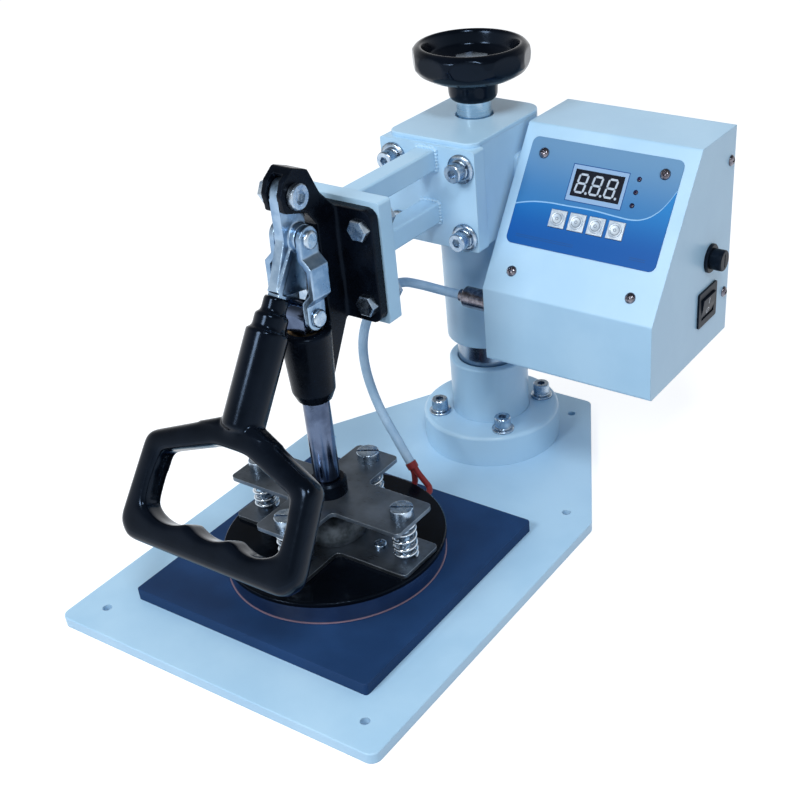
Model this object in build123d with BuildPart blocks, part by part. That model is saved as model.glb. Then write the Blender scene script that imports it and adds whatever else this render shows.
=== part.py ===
from build123d import *
from math import atan2, cos, degrees, hypot, pi, radians, sin, tan
import os

os.makedirs("parts", exist_ok=True)

# Frame: millimetres, X to the right, Y to the rear, Z up
# The column axis meets the underside of the base plate at the origin

# Running fits and small gaps
run_gap = 0.05
press_gap = 0.02
side_gap = 0.3
seat_gap = 0.3
cap_hole_gap = 1.15

# Base plate
base_half = 135.0
base_front = -345.0
base_shoulder = -75.0
base_rear = 78.0
base_rear_half = 50.0
base_thick = 8.0
bench_hole_r = 3.25
bench_side_x = 112.0
bench_front_y = -323.0
bench_mid_y = -73.0
bench_rear_x = 45.0
bench_rear_y = 53.0
base_corner_r = 7.0
base_edge_r = 0.9

# Press axis and pad
press_y = -205.0
pad_size = 200.0
pad_thick = 9.0
pad_corner_r = 2.5
pad_edge_r = 0.8
pad_top = base_thick + pad_thick

# Column
flange_r = 55.0
flange_top = 34.0
collar_r = 31.0
collar_top = 81.0
post_r = 24.0
post_top = 232.0
post_wall = 6.0
post_floor = 12.0
post_chamfer = 1.0
post_foot_gap = 0.1
crown_deep = 28.0
screw_offset = 30.0
sleeve_bottom = 100.0
flange_edge_r = 3.0
collar_edge_r = 1.6
sleeve_edge_r = 2.0

# M8 socket screws
m8_r = 4.0
m8_clear_r = 4.4
m8_head_r = 6.5
m8_head_h = 8.0
m8_key = 6.0
m8_key_deep = 4.0
m8_head_chamfer = 0.6
m8_end_gap = 1.0
washer_r = 8.8
washer_t = 1.6
lock_washer_r = 6.9
lock_washer_t = 2.0

# Head block
block_half = 36.0
block_front = -49.0
block_rear = 37.0
block_bottom = 198.0
block_top = 270.5
block_round = 14.0
block_front_r = 3.0
bore_top = 250.0
shaft_seat = 262.0
cap_thick = 3.0
cap_front = -57.0
cap_front_r = 9.0
cap_edge_r = 0.8

# Arm
arm_plate_half = 39.0
arm_plate_front = -61.0
arm_hole_x = 28.0
arm_hole_low = 208.0
arm_hole_high = 257.5
arm_screw_depth = 17.0
arm_thread_deep = arm_screw_depth + 3
plate_corner_r = 2.0
bar_size = 15.0
bar_corner_r = 1.6
bar_low = 215.0
bar_high = 253.0
end_front = -163.0
end_thick = 12.0
end_half = 36.0
end_low = 189.0
end_high = 271.0

# Toggle clamp
clamp_flange_thick = 8.0
clamp_flange_half = 35.0
clamp_flange_low = 192.0
clamp_flange_high = 268.0
clamp_bolt_x = 26.5
clamp_bolt_low = 205.0
clamp_bolt_high = 256.0
clamp_corner_r = 7.0
cast_r = 3.0
clamp_front = end_front - clamp_flange_thick
web_half = 8.0
barrel_top = 197.0
barrel_bottom = 146.0
barrel_top_r = 17.0
barrel_bottom_r = 13.5
barrel_rim = 1.5
rod_r = 9.0
bush_r = 11.0
bush_recess = 1.0

# Toggle pivots, given in the YZ plane
pivot_y = press_y
pivot_z = 286.0
knee_y = press_y + 2.0
knee_z = 258.5
wrist_z = 207.0
pivot_bolt_r = 5.0
pin_r = 4.0
blade_half = 3.5
boss_half = web_half
link_thick = 4.0
link_in = boss_half + side_gap
link_out = link_in + link_thick
link_step = 6.0
link_half_width = 8.4

# Handle, in its own plane: x across and t down the arm from the grip's mouth
handle_lean = 35.0
grip_mouth_y = press_y - 19.0
grip_mouth_z = 229.0
grip_r = 13.5
tube_end = 90.0
loop_half_thick = 9.5
tang_width = 9.0
tang_thick = 8.0
tang_length = 62.0

# Pressing head
sheet_bottom = pad_top + seat_gap
sheet_thick = 0.4
sheet_over = 0.6
plate_r = 77.0
plate_bottom = sheet_bottom + sheet_thick
plate_top = 33.6
plate_edge_r = 0.8
cover_over = 1.5
cover_r = plate_r + cover_over
cover_thick = 1.8
cover_edge_r = 1.0
cover_top = plate_top + cover_thick
lower_thick = 3.0
lower_top = cover_top + lower_thick
upper_bottom = 69.0
upper_thick = 3.0
upper_top = upper_bottom + upper_thick
arm_tip_x = plate_r - 4
arm_tip_y = plate_r - 20
arm_half_x = 20.0
arm_half_y = 18.0
cross_corner_r = 4.0
lower_over = 2.0
screw_x = arm_tip_x - 11
screw_y = arm_tip_y - 12
shoulder_r = 4.0
shoulder_hole_r = 4.4
thread_r = 3.0
thread_bottom = 24.0
groove_r = plate_r - 23
groove_half = 4.2
spring_r = 7.6
spring_wire_r = 1.1
spring_turns = 5.5
hub_r = 13.0
hub_top = 83.0
stem_r = 10.0
dome_top = 57.0
dome_r = 22.0

# Handwheel
shaft_r = 12.45
wheel_lift = 10.5
wheel_bottom = block_top + cap_thick + wheel_lift
wheel_bore_r = 8.0
wheel_r = 42.0
wheel_deep = 39.0
wheel_top = wheel_bottom + wheel_deep
dish_deep = 17.0
wheel_hub_r = 18.0
wheel_hub_h = 13.0
rim_r = 36.0

# Control box
box_left = 39.0
box_right = 173.0
box_front = -60.0
box_rear = 66.0
box_bottom = 114.0
box_knee = 171.0
box_ridge_y = 11.0
box_top = 270.0
sheet = 1.5
panel_rise = box_top - box_knee
panel_run = box_ridge_y - box_front
panel_length = hypot(panel_rise, panel_run)
label_left = 7.5
label_right = 124.5
label_low = 36.0
label_high = 112.5
label_thick = 0.6
label_corner_r = 5.0
window_x = 66.0
window_s = 85.5
window_w = 37.5
window_h = 18.5
lamp_x = 95.3
lamp_s = (77.0, 86.1, 95.2)
lamp_r = 1.6
button_x = (43.5, 58.6, 73.6, 88.7)
button_s = 58.4
button_size = 12.4
button_travel = 0.8
fuse_y = 31.0
fuse_z = 185.0
rocker_y = 28.0
rocker_z = 150.0
rocker_w = 30.0
rocker_h = 27.0
plug_y = -49.0
plug_z = 155.0

# Screw places: x and s on the sloping front, y and z on the two sides
panel_screws = ((19.0, 101.5), (112.7, 101.5), (19.0, 16.5), (112.7, 16.5))
side_screw_in = 7.0
side_screws = ((box_rear - side_screw_in, box_top - 23), (box_rear - side_screw_in, box_bottom + 33))
m4_r = 2.0
m4_clear_r = 2.1

panel_plane = Plane(
    origin=(box_left, box_front, box_knee),
    x_dir=(1, 0, 0),
    z_dir=(0, -panel_rise / panel_length, panel_run / panel_length),
)


def save(part, name):
    part.label = name
    export_step(part, f"parts/{name}.step")


def side_plane(x):
    # Sketch plane facing +X, its x along +Y and its y along +Z
    return Plane(origin=(x, 0, 0), x_dir=(0, 1, 0), z_dir=(1, 0, 0))


# Base plate with bench holes and tapped holes for the column
with BuildPart() as base_plate:
    with BuildSketch() as outline:
        with BuildLine():
            Polyline(
                (-base_half, base_front),
                (base_half, base_front),
                (base_half, base_shoulder),
                (base_rear_half, base_rear),
                (-base_rear_half, base_rear),
                (-base_half, base_shoulder),
                close=True,
            )
        make_face()
        fillet(outline.vertices(), base_corner_r)
    extrude(amount=base_thick)
    fillet(base_plate.edges().group_by(Axis.Z)[-1], base_edge_r)
    with BuildSketch():
        with Locations(
            (-bench_side_x, bench_front_y),
            (bench_side_x, bench_front_y),
            (-bench_side_x, bench_mid_y),
            (bench_side_x, bench_mid_y),
            (-bench_rear_x, bench_rear_y),
            (bench_rear_x, bench_rear_y),
        ):
            Circle(bench_hole_r)
        with GridLocations(2 * screw_offset, 2 * screw_offset, 2, 2):
            Circle(m8_r + run_gap)
    extrude(amount=base_thick, mode=Mode.SUBTRACT)
save(base_plate.part, "base_plate")

# Silicone pad
with BuildPart() as silicone_pad:
    with BuildSketch(Plane.XY.offset(base_thick)):
        with Locations((0, press_y)):
            RectangleRounded(pad_size, pad_size, pad_corner_r)
    extrude(amount=pad_thick)
    fillet(silicone_pad.edges().group_by(Axis.Z)[-1], pad_edge_r)
save(silicone_pad.part, "silicone_pad")

# Round foot flange of the column
with BuildPart() as column_flange:
    with BuildSketch(Plane.XY.offset(base_thick)):
        Circle(flange_r)
    extrude(amount=flange_top - base_thick)
    fillet(column_flange.edges().group_by(Axis.Z)[-1], flange_edge_r)
    with BuildSketch(Plane.XY.offset(base_thick)):
        Circle(collar_r + run_gap)
        with GridLocations(2 * screw_offset, 2 * screw_offset, 2, 2):
            Circle(m8_clear_r)
    extrude(amount=flange_top - base_thick, mode=Mode.SUBTRACT)
save(column_flange.part, "column_flange")

# Collar that stands in the flange and carries the post
with BuildPart() as column_collar:
    with BuildSketch(Plane.XY.offset(base_thick)):
        Circle(collar_r)
        Circle(post_r + run_gap, mode=Mode.SUBTRACT)
    extrude(amount=collar_top - base_thick)
    fillet(column_collar.edges().group_by(Axis.Z)[-1], collar_edge_r)
save(column_collar.part, "column_collar")

# Plain and spring washers under the flange screws
with BuildPart() as flange_washers:
    for level, radius, thick in (
        (flange_top, washer_r, washer_t),
        (flange_top + washer_t, lock_washer_r, lock_washer_t),
    ):
        with BuildSketch(Plane.XY.offset(level)):
            with GridLocations(2 * screw_offset, 2 * screw_offset, 2, 2):
                Circle(radius)
                Circle(m8_clear_r, mode=Mode.SUBTRACT)
        extrude(amount=thick)
save(flange_washers.part, "flange_washers")

# Socket screws of the flange
flange_seat = flange_top + washer_t + lock_washer_t
with BuildPart() as flange_screws:
    with BuildSketch(Plane.XY.offset(flange_seat)):
        with GridLocations(2 * screw_offset, 2 * screw_offset, 2, 2):
            Circle(m8_head_r)
    extrude(amount=m8_head_h)
    chamfer(flange_screws.edges().group_by(Axis.Z)[-1], m8_head_chamfer)
    with BuildSketch(Plane.XY.offset(m8_end_gap)):
        with GridLocations(2 * screw_offset, 2 * screw_offset, 2, 2):
            Circle(m8_r)
    extrude(amount=flange_seat - m8_end_gap)
    with BuildSketch(Plane.XY.offset(flange_seat + m8_head_h)):
        with GridLocations(2 * screw_offset, 2 * screw_offset, 2, 2):
            RegularPolygon(m8_key / 2, 6, major_radius=False)
    extrude(amount=-m8_key_deep, mode=Mode.SUBTRACT)
save(flange_screws.part, "flange_screws")

# Turning post, hollow below its threaded crown
crown_bottom = post_top - crown_deep
post_foot = base_thick + post_foot_gap
with BuildPart() as column_post:
    with BuildSketch(Plane.XZ):
        with BuildLine():
            Polyline(
                (0, post_foot),
                (post_r - post_chamfer, post_foot),
                (post_r, post_foot + post_chamfer),
                (post_r, post_top - post_chamfer),
                (post_r - post_chamfer, post_top),
                (wheel_bore_r + run_gap, post_top),
                (wheel_bore_r + run_gap, crown_bottom),
                (post_r - post_wall, crown_bottom),
                (post_r - post_wall, base_thick + post_floor),
                (0, base_thick + post_floor),
                close=True,
            )
        make_face()
    revolve(axis=Axis.Z)
save(column_post.part, "column_post")

# Swing sleeve below the head block
with BuildPart() as swing_sleeve:
    with BuildSketch(Plane.XY.offset(sleeve_bottom)):
        Circle(collar_r)
        Circle(post_r + run_gap, mode=Mode.SUBTRACT)
    extrude(amount=block_bottom - sleeve_bottom)
    fillet(swing_sleeve.edges().group_by(Axis.Z)[0], sleeve_edge_r)
save(swing_sleeve.part, "swing_sleeve")

# Head block, bored for the post from below and for the shaft from above
block_deep = block_rear - block_front
block_mid_y = (block_rear + block_front) / 2
with BuildPart() as head_block:
    with BuildSketch(Plane.XY.offset(block_bottom)):
        with Locations((0, block_mid_y)):
            Rectangle(2 * block_half, block_deep)
    extrude(amount=block_top - block_bottom)
    fillet(head_block.edges().filter_by(Axis.Z).group_by(Axis.Y)[-1], block_round)
    fillet(head_block.edges().filter_by(Axis.Z).group_by(Axis.Y)[0], block_front_r)
    with BuildSketch(Plane.XY.offset(block_bottom)):
        Circle(post_r + run_gap)
    extrude(amount=bore_top - block_bottom, mode=Mode.SUBTRACT)
    with BuildSketch(Plane.XY.offset(bore_top)):
        Circle(wheel_bore_r + run_gap)
    extrude(amount=block_top - bore_top, mode=Mode.SUBTRACT)
    with BuildSketch(Plane.XY.offset(shaft_seat)):
        Circle(shaft_r + run_gap)
    extrude(amount=block_top - shaft_seat, mode=Mode.SUBTRACT)
    with BuildSketch(Plane.XZ.offset(-block_front)):
        for hole_z in (arm_hole_low, arm_hole_high):
            with Locations((-arm_hole_x, hole_z), (arm_hole_x, hole_z)):
                Circle(m8_r + run_gap)
    extrude(amount=-arm_thread_deep, mode=Mode.SUBTRACT)
save(head_block.part, "head_block")

# Thin cap plate on the block
with BuildPart() as head_cap:
    with BuildSketch(Plane.XY.offset(block_top)) as cap_outline:
        with Locations((0, (block_rear + cap_front) / 2)):
            Rectangle(2 * block_half, block_rear - cap_front)
        fillet(cap_outline.vertices().group_by(Axis.Y)[-1], block_round)
        fillet(cap_outline.vertices().group_by(Axis.Y)[0], cap_front_r)
        Circle(shaft_r + cap_hole_gap, mode=Mode.SUBTRACT)
    extrude(amount=cap_thick)
    fillet(head_cap.edges().group_by(Axis.Z)[-1].sort_by(SortBy.LENGTH)[1:], cap_edge_r)
save(head_cap.part, "head_cap")

# Welded arm: bolted plate, two square bars and end plate
with BuildPart() as arm_frame:
    with BuildSketch(Plane.XZ.offset(-block_front)) as bolted_face:
        with Locations((0, (block_top + block_bottom) / 2)):
            RectangleRounded(2 * arm_plate_half, block_top - block_bottom, plate_corner_r)
        for hole_z in (arm_hole_low, arm_hole_high):
            with Locations((-arm_hole_x, hole_z), (arm_hole_x, hole_z)):
                Circle(m8_clear_r, mode=Mode.SUBTRACT)
    extrude(amount=block_front - arm_plate_front)
    with BuildSketch(Plane.XZ.offset(-arm_plate_front)):
        for bar_z in (bar_low, bar_high):
            with Locations((0, bar_z + bar_size / 2)):
                RectangleRounded(bar_size, bar_size, bar_corner_r)
    extrude(amount=arm_plate_front - end_front - end_thick)
    with BuildSketch(Plane.XZ.offset(-end_front - end_thick)):
        with Locations((0, (end_low + end_high) / 2)):
            RectangleRounded(2 * end_half, end_high - end_low, plate_corner_r)
        for hole_z in (clamp_bolt_low, clamp_bolt_high):
            with Locations((-clamp_bolt_x, hole_z), (clamp_bolt_x, hole_z)):
                Circle(m8_clear_r, mode=Mode.SUBTRACT)
    extrude(amount=end_thick)
save(arm_frame.part, "arm_frame")

# Wide washers and spring washers of the arm screws
arm_washer_r = 10.0
arm_washer_t = 2.0
with BuildPart() as arm_washers:
    for level, radius, thick in (
        (arm_plate_front, arm_washer_r, arm_washer_t),
        (arm_plate_front - arm_washer_t, lock_washer_r, lock_washer_t),
    ):
        with BuildSketch(Plane.XZ.offset(-level)):
            for hole_z in (arm_hole_low, arm_hole_high):
                with Locations((-arm_hole_x, hole_z), (arm_hole_x, hole_z)):
                    Circle(radius)
                    Circle(m8_clear_r, mode=Mode.SUBTRACT)
        extrude(amount=thick)
save(arm_washers.part, "arm_washers")

# Socket screws of the arm
arm_seat = arm_plate_front - arm_washer_t - lock_washer_t
with BuildPart() as arm_screws:
    with BuildSketch(Plane.XZ.offset(-arm_seat)):
        for hole_z in (arm_hole_low, arm_hole_high):
            with Locations((-arm_hole_x, hole_z), (arm_hole_x, hole_z)):
                Circle(m8_head_r)
    extrude(amount=m8_head_h)
    chamfer(arm_screws.edges().group_by(Axis.Y)[0], m8_head_chamfer)
    with BuildSketch(Plane.XZ.offset(-block_front - arm_screw_depth)):
        for hole_z in (arm_hole_low, arm_hole_high):
            with Locations((-arm_hole_x, hole_z), (arm_hole_x, hole_z)):
                Circle(m8_r)
    extrude(amount=block_front + arm_screw_depth - arm_seat)
    with BuildSketch(Plane.XZ.offset(-arm_seat + m8_head_h)):
        for hole_z in (arm_hole_low, arm_hole_high):
            with Locations((-arm_hole_x, hole_z), (arm_hole_x, hole_z)):
                RegularPolygon(m8_key / 2, 6, major_radius=False)
    extrude(amount=-m8_key_deep, mode=Mode.SUBTRACT)
save(arm_screws.part, "arm_screws")

# Cast clamp body: bolted flange, web with forked pivot lug, barrel for the plunger
pivot_eye_r = 10.5
knee_eye_r = 9.0
fork_room = 0.8
with BuildPart() as clamp_body:
    with BuildSketch(Plane.XZ.offset(-end_front)):
        with Locations((0, (clamp_flange_low + clamp_flange_high) / 2)):
            RectangleRounded(
                2 * clamp_flange_half, clamp_flange_high - clamp_flange_low, clamp_corner_r
            )
    extrude(amount=clamp_flange_thick)
    with BuildSketch(side_plane(-web_half)) as web_side:
        with BuildLine():
            Polyline(
                (clamp_front + 1, clamp_flange_high - 1),
                (pivot_y + 22, pivot_z - 5),
                (pivot_y + 14, pivot_z + 12),
                (pivot_y + 1, pivot_z + 17),
                (pivot_y - 8, pivot_z + 11),
                (pivot_y - 12, pivot_z + 3),
                (pivot_y - 10, pivot_z - 8),
                (pivot_y + 9, pivot_z - 14),
                (pivot_y + 16, pivot_z - 24),
                (press_y + 16, barrel_top - 2),
                (press_y, barrel_top - 4),
                (press_y, barrel_bottom + 14),
                (press_y + 12, barrel_bottom + 10),
                (clamp_front + 1, clamp_flange_low + 4),
                close=True,
            )
        make_face()
        fillet(web_side.vertices().sort_by(Axis.Z)[-5:], cast_r)
    extrude(amount=2 * web_half)
    with BuildSketch(Plane.XZ.offset(-press_y)) as barrel_profile:
        with BuildLine():
            Polyline(
                (0, barrel_top),
                (barrel_top_r - barrel_rim, barrel_top),
                (barrel_top_r, barrel_top - barrel_rim),
                (barrel_top_r - barrel_rim, barrel_bottom + 24),
                (barrel_bottom_r + 1, barrel_bottom + 7),
                (barrel_bottom_r - 2, barrel_bottom),
                (0, barrel_bottom),
                close=True,
            )
        make_face()
    revolve(axis=Axis(origin=(0, press_y, 0), direction=(0, 0, 1)))
    fillet(clamp_body.edges().filter_by(Axis.Z).filter_by(
        lambda e: abs(abs(e.center().X) - web_half) < 0.1
        and abs(e.center().Y - clamp_front) < 0.1
    ), cast_r)
    with BuildSketch(Plane.XY.offset(barrel_bottom)):
        with Locations((0, press_y)):
            Circle(bush_r + run_gap)
    extrude(amount=barrel_top - barrel_bottom, mode=Mode.SUBTRACT)
    with BuildSketch(Plane.XZ.offset(-end_front)):
        for hole_z in (clamp_bolt_low, clamp_bolt_high):
            with Locations((-clamp_bolt_x, hole_z), (clamp_bolt_x, hole_z)):
                Circle(m8_clear_r)
    extrude(amount=clamp_flange_thick, mode=Mode.SUBTRACT)
    with BuildSketch(side_plane(-web_half)):
        with Locations((pivot_y, pivot_z)):
            Circle(pivot_bolt_r + run_gap)
    extrude(amount=2 * web_half, mode=Mode.SUBTRACT)
    with BuildSketch(side_plane(-blade_half - side_gap)):
        with BuildLine():
            Polyline(
                (pivot_y - 20, pivot_z - 30),
                (pivot_y - 20, pivot_z + 20),
                (pivot_y - 8, pivot_z + 20),
                (pivot_y - 2, pivot_z + pivot_eye_r + fork_room),
                (pivot_y + pivot_eye_r + fork_room, pivot_z + pivot_eye_r + fork_room),
                (pivot_y + pivot_eye_r + fork_room, pivot_z - 30),
                close=True,
            )
        make_face()
    extrude(amount=2 * (blade_half + side_gap), mode=Mode.SUBTRACT)
save(clamp_body.part, "clamp_body")

# Hexagon bolts and nuts that hold the clamp to the end plate
hex_flat = 13.0
hex_head_h = 5.3
nut_h = 6.5
hex_chamfer = 0.7
bolt_end = 2.0
end_back = end_front + end_thick
with BuildPart() as clamp_bolts:
    with BuildSketch(Plane.XZ.offset(-clamp_front)):
        for hole_z in (clamp_bolt_low, clamp_bolt_high):
            with Locations((-clamp_bolt_x, hole_z), (clamp_bolt_x, hole_z)):
                RegularPolygon(hex_flat / 2, 6, major_radius=False)
    extrude(amount=hex_head_h)
    chamfer(clamp_bolts.edges().group_by(Axis.Y)[0], hex_chamfer)
    with BuildSketch(Plane.XZ.offset(-clamp_front)):
        for hole_z in (clamp_bolt_low, clamp_bolt_high):
            with Locations((-clamp_bolt_x, hole_z), (clamp_bolt_x, hole_z)):
                Circle(m8_r)
    extrude(amount=clamp_front - end_back - nut_h - bolt_end)
    with BuildSketch(Plane.XZ.offset(-end_back)):
        for hole_z in (clamp_bolt_low, clamp_bolt_high):
            with Locations((-clamp_bolt_x, hole_z), (clamp_bolt_x, hole_z)):
                RegularPolygon(hex_flat / 2, 6, major_radius=False)
                Circle(m8_r + press_gap, mode=Mode.SUBTRACT)
    extrude(amount=-nut_h)
save(clamp_bolts.part, "clamp_bolts")

# Bronze bush in the barrel
with BuildPart() as plunger_bush:
    with BuildSketch(Plane.XY.offset(barrel_bottom + bush_recess)):
        with Locations((0, press_y)):
            Circle(bush_r)
            Circle(rod_r + run_gap, mode=Mode.SUBTRACT)
    extrude(amount=barrel_top - barrel_bottom - 2 * bush_recess)
save(plunger_bush.part, "plunger_bush")

# Pivot bolt of the lever, head on the right and nut on the left
bolt_head_r = 8.0
bolt_head_h = 4.0
bolt_key = 8.0
bolt_key_deep = 2.5
bolt_tip = 1.0
bolt_grip = web_half + side_gap
with BuildPart() as lever_pivot_bolt:
    with BuildSketch(side_plane(-bolt_grip - nut_h - bolt_tip)):
        with Locations((pivot_y, pivot_z)):
            Circle(m8_r)
    extrude(amount=nut_h + bolt_tip)
    with BuildSketch(side_plane(-bolt_grip)):
        with Locations((pivot_y, pivot_z)):
            Circle(pivot_bolt_r)
    extrude(amount=2 * bolt_grip)
    with BuildSketch(side_plane(bolt_grip)):
        with Locations((pivot_y, pivot_z)):
            Circle(bolt_head_r)
    extrude(amount=bolt_head_h)
    chamfer(lever_pivot_bolt.edges().group_by(Axis.X)[-1], hex_chamfer)
    with BuildSketch(side_plane(bolt_grip + bolt_head_h)):
        with Locations((pivot_y, pivot_z)):
            RegularPolygon(bolt_key / 2, 6, major_radius=False)
    extrude(amount=-bolt_key_deep, mode=Mode.SUBTRACT)
    with BuildSketch(side_plane(-bolt_grip - nut_h)):
        with Locations((pivot_y, pivot_z)):
            RegularPolygon(hex_flat / 2, 6, major_radius=False)
    extrude(amount=nut_h)
save(lever_pivot_bolt.part, "lever_pivot_bolt")

# Forged lever: a ribbed blade in the fork, bosses at the knee, a toe and a tang
lean_y = -sin(radians(handle_lean))
lean_z = -cos(radians(handle_lean))


def arm_point(along, across):
    # Point in the YZ plane, measured from the grip's mouth down the handle
    return (
        grip_mouth_y + along * lean_y + across * lean_z,
        grip_mouth_z + along * lean_z - across * lean_y,
    )


handle_plane = Plane(
    origin=(0, grip_mouth_y, grip_mouth_z),
    x_dir=(1, 0, 0),
    z_dir=(0, lean_z, -lean_y),
)
grip_plane = Plane(
    origin=(0, grip_mouth_y, grip_mouth_z),
    x_dir=(1, 0, 0),
    z_dir=(0, lean_y, lean_z),
)

rib_half = tang_width / 2
rib_front = 5.5
rib_back = 0.5
toe_deep = 22.0
scoop_r = 11.0
with BuildPart() as handle_lever:
    with BuildSketch(side_plane(-blade_half)):
        with Locations((pivot_y, pivot_z)):
            Circle(pivot_eye_r)
        with Locations((knee_y, knee_z)):
            Circle(knee_eye_r)
        with BuildLine():
            Polyline(
                (pivot_y - pivot_eye_r, pivot_z),
                (pivot_y + pivot_eye_r, pivot_z),
                (knee_y + knee_eye_r, knee_z),
                arm_point(-8, -toe_deep),
                arm_point(0, -tang_thick / 2),
                arm_point(0, rib_front),
                (pivot_y - pivot_eye_r, knee_z + 2),
                close=True,
            )
        make_face()
        with Locations((press_y + 15, wrist_z + 31)):
            Circle(scoop_r, mode=Mode.SUBTRACT)
    extrude(amount=2 * blade_half)
    with BuildSketch(side_plane(-rib_half)):
        with BuildLine():
            Polyline(
                arm_point(0, rib_front),
                arm_point(0, rib_back),
                arm_point(-30, rib_back),
                arm_point(-30, rib_front - 1),
                close=True,
            )
        make_face()
    extrude(amount=2 * rib_half)
    with BuildSketch(side_plane(-boss_half)):
        with Locations((knee_y, knee_z)):
            Circle(knee_eye_r)
    extrude(amount=2 * boss_half)
    with BuildSketch(grip_plane):
        Rectangle(tang_width, tang_thick)
    extrude(amount=tang_length)
    with BuildSketch(side_plane(-boss_half)):
        with Locations((pivot_y, pivot_z)):
            Circle(pivot_bolt_r + run_gap)
        with Locations((knee_y, knee_z)):
            Circle(pin_r + press_gap)
    extrude(amount=2 * boss_half, mode=Mode.SUBTRACT)
save(handle_lever.part, "handle_lever")

# Knee pin pressed into the lever's bosses
with BuildPart() as lever_pin:
    with BuildSketch(side_plane(-boss_half)):
        with Locations((knee_y, knee_z)):
            Circle(pin_r)
    extrude(amount=2 * boss_half)
save(lever_pin.part, "lever_pin")

# Moulded grip: stepped neck and five-sided loop with finger scallops
mouth_r = 7.8
collar_bottom = 12.5
step_r = 10.6
step_bottom = 24.0
neck_start = 2.0
neck_soft = 1.4
neck_foot = 5.0
loop_top = 81.0
loop_bottom = 174.0
loop_shoulder = (69.0, 104.0)
loop_corner = (73.0, 164.0)
loop_foot_half = 64.0
loop_corner_r = 8.0
loop_edge_r = 6.0
scallop_r = 30.0
scallop_pitch = 35.0
scallop_deep = 156.0
scallop_depth = 10.0
window_top_half = 12.0
window_top = 99.0
window_side = (53.0, 114.0)
window_foot = (55.0, 141.0)
tang_end_gap = 0.5
with BuildPart() as handle_grip:
    with BuildSketch(handle_plane) as loop_outline:
        with BuildLine():
            Polyline(
                (-grip_r, -loop_top),
                (grip_r, -loop_top),
                (loop_shoulder[0], -loop_shoulder[1]),
                (loop_corner[0], -loop_corner[1]),
                (loop_foot_half, -loop_bottom),
                (-loop_foot_half, -loop_bottom),
                (-loop_corner[0], -loop_corner[1]),
                (-loop_shoulder[0], -loop_shoulder[1]),
                close=True,
            )
        make_face()
        fillet(loop_outline.vertices(), loop_corner_r)
    extrude(amount=loop_half_thick, both=True)
    fillet(handle_grip.edges(), loop_edge_r)
    with BuildSketch(handle_plane):
        with BuildLine():
            Polyline(
                (0, -neck_start),
                (0, -tube_end),
                (grip_r - neck_foot, -tube_end),
                (grip_r, -tube_end + neck_foot),
                (grip_r, -step_bottom),
                (step_r, -step_bottom + 2),
                (step_r, -collar_bottom - neck_soft),
                (step_r - neck_soft, -collar_bottom),
                (mouth_r, -collar_bottom + 1),
                (mouth_r, -neck_start - 1),
                (mouth_r - 1, -neck_start),
                close=True,
            )
        make_face()
    revolve(axis=Axis(origin=(0, grip_mouth_y, grip_mouth_z), direction=(0, lean_y, lean_z)))
    with BuildSketch(handle_plane):
        with Locations(
            (-scallop_pitch, scallop_r - scallop_deep),
            (0, scallop_r - scallop_deep),
            (scallop_pitch, scallop_r - scallop_deep),
        ):
            Circle(scallop_r)
        with Locations((0, -scallop_deep + scallop_depth + 2)):
            Rectangle(2 * window_foot[0], 2 * (scallop_depth + 7), mode=Mode.INTERSECT)
        with BuildLine():
            Polyline(
                (-window_top_half, -window_top),
                (window_top_half, -window_top),
                (window_side[0], -window_side[1]),
                (window_foot[0], -window_foot[1]),
                (-window_foot[0], -window_foot[1]),
                (-window_side[0], -window_side[1]),
                close=True,
            )
        make_face()
    extrude(amount=loop_half_thick + 1, both=True, mode=Mode.SUBTRACT)
    with BuildSketch(grip_plane):
        Rectangle(tang_width + 2 * run_gap, tang_thick + 2 * run_gap)
    extrude(amount=tang_length + tang_end_gap, mode=Mode.SUBTRACT)
save(handle_grip.part, "handle_grip")

# Two joggled link straps between knee and wrist
link_length = hypot(knee_y - press_y, knee_z - wrist_z)
link_plane = Plane(
    origin=(0, press_y, wrist_z),
    x_dir=(1, 0, 0),
    z_dir=(0, -(knee_z - wrist_z) / link_length, (knee_y - press_y) / link_length),
)
joggle_start = 11.0
joggle_run = 6.0
link_height = link_length + 2 * link_half_width
with BuildPart() as toggle_links:
    with BuildSketch(side_plane(link_in)) as strap_side:
        with Locations(((press_y + knee_y) / 2, (wrist_z + knee_z) / 2)):
            SlotOverall(
                link_height,
                2 * link_half_width,
                rotation=degrees(atan2(knee_z - wrist_z, knee_y - press_y)),
            )
    extrude(amount=link_step + link_thick)
    with BuildSketch(link_plane):
        with BuildLine():
            Polyline(
                (link_in, -link_half_width - 1),
                (link_out, -link_half_width - 1),
                (link_out, joggle_start - 1),
                (link_out + link_step, joggle_start + joggle_run - 1),
                (link_out + link_step, link_length - joggle_start - joggle_run + 1),
                (link_out, link_length - joggle_start + 1),
                (link_out, link_length + link_half_width + 1),
                (link_in, link_length + link_half_width + 1),
                (link_in, link_length - joggle_start - 1),
                (link_in + link_step, link_length - joggle_start - joggle_run - 1),
                (link_in + link_step, joggle_start + joggle_run + 1),
                (link_in, joggle_start + 1),
                close=True,
            )
        make_face()
    extrude(amount=link_half_width + 1, both=True, mode=Mode.INTERSECT)
    with BuildSketch(side_plane(link_in)):
        with Locations((press_y, wrist_z), (knee_y, knee_z)):
            Circle(pin_r + run_gap)
    extrude(amount=link_thick, mode=Mode.SUBTRACT)
    mirror(about=Plane.YZ)
save(toggle_links.part, "toggle_links")

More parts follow.
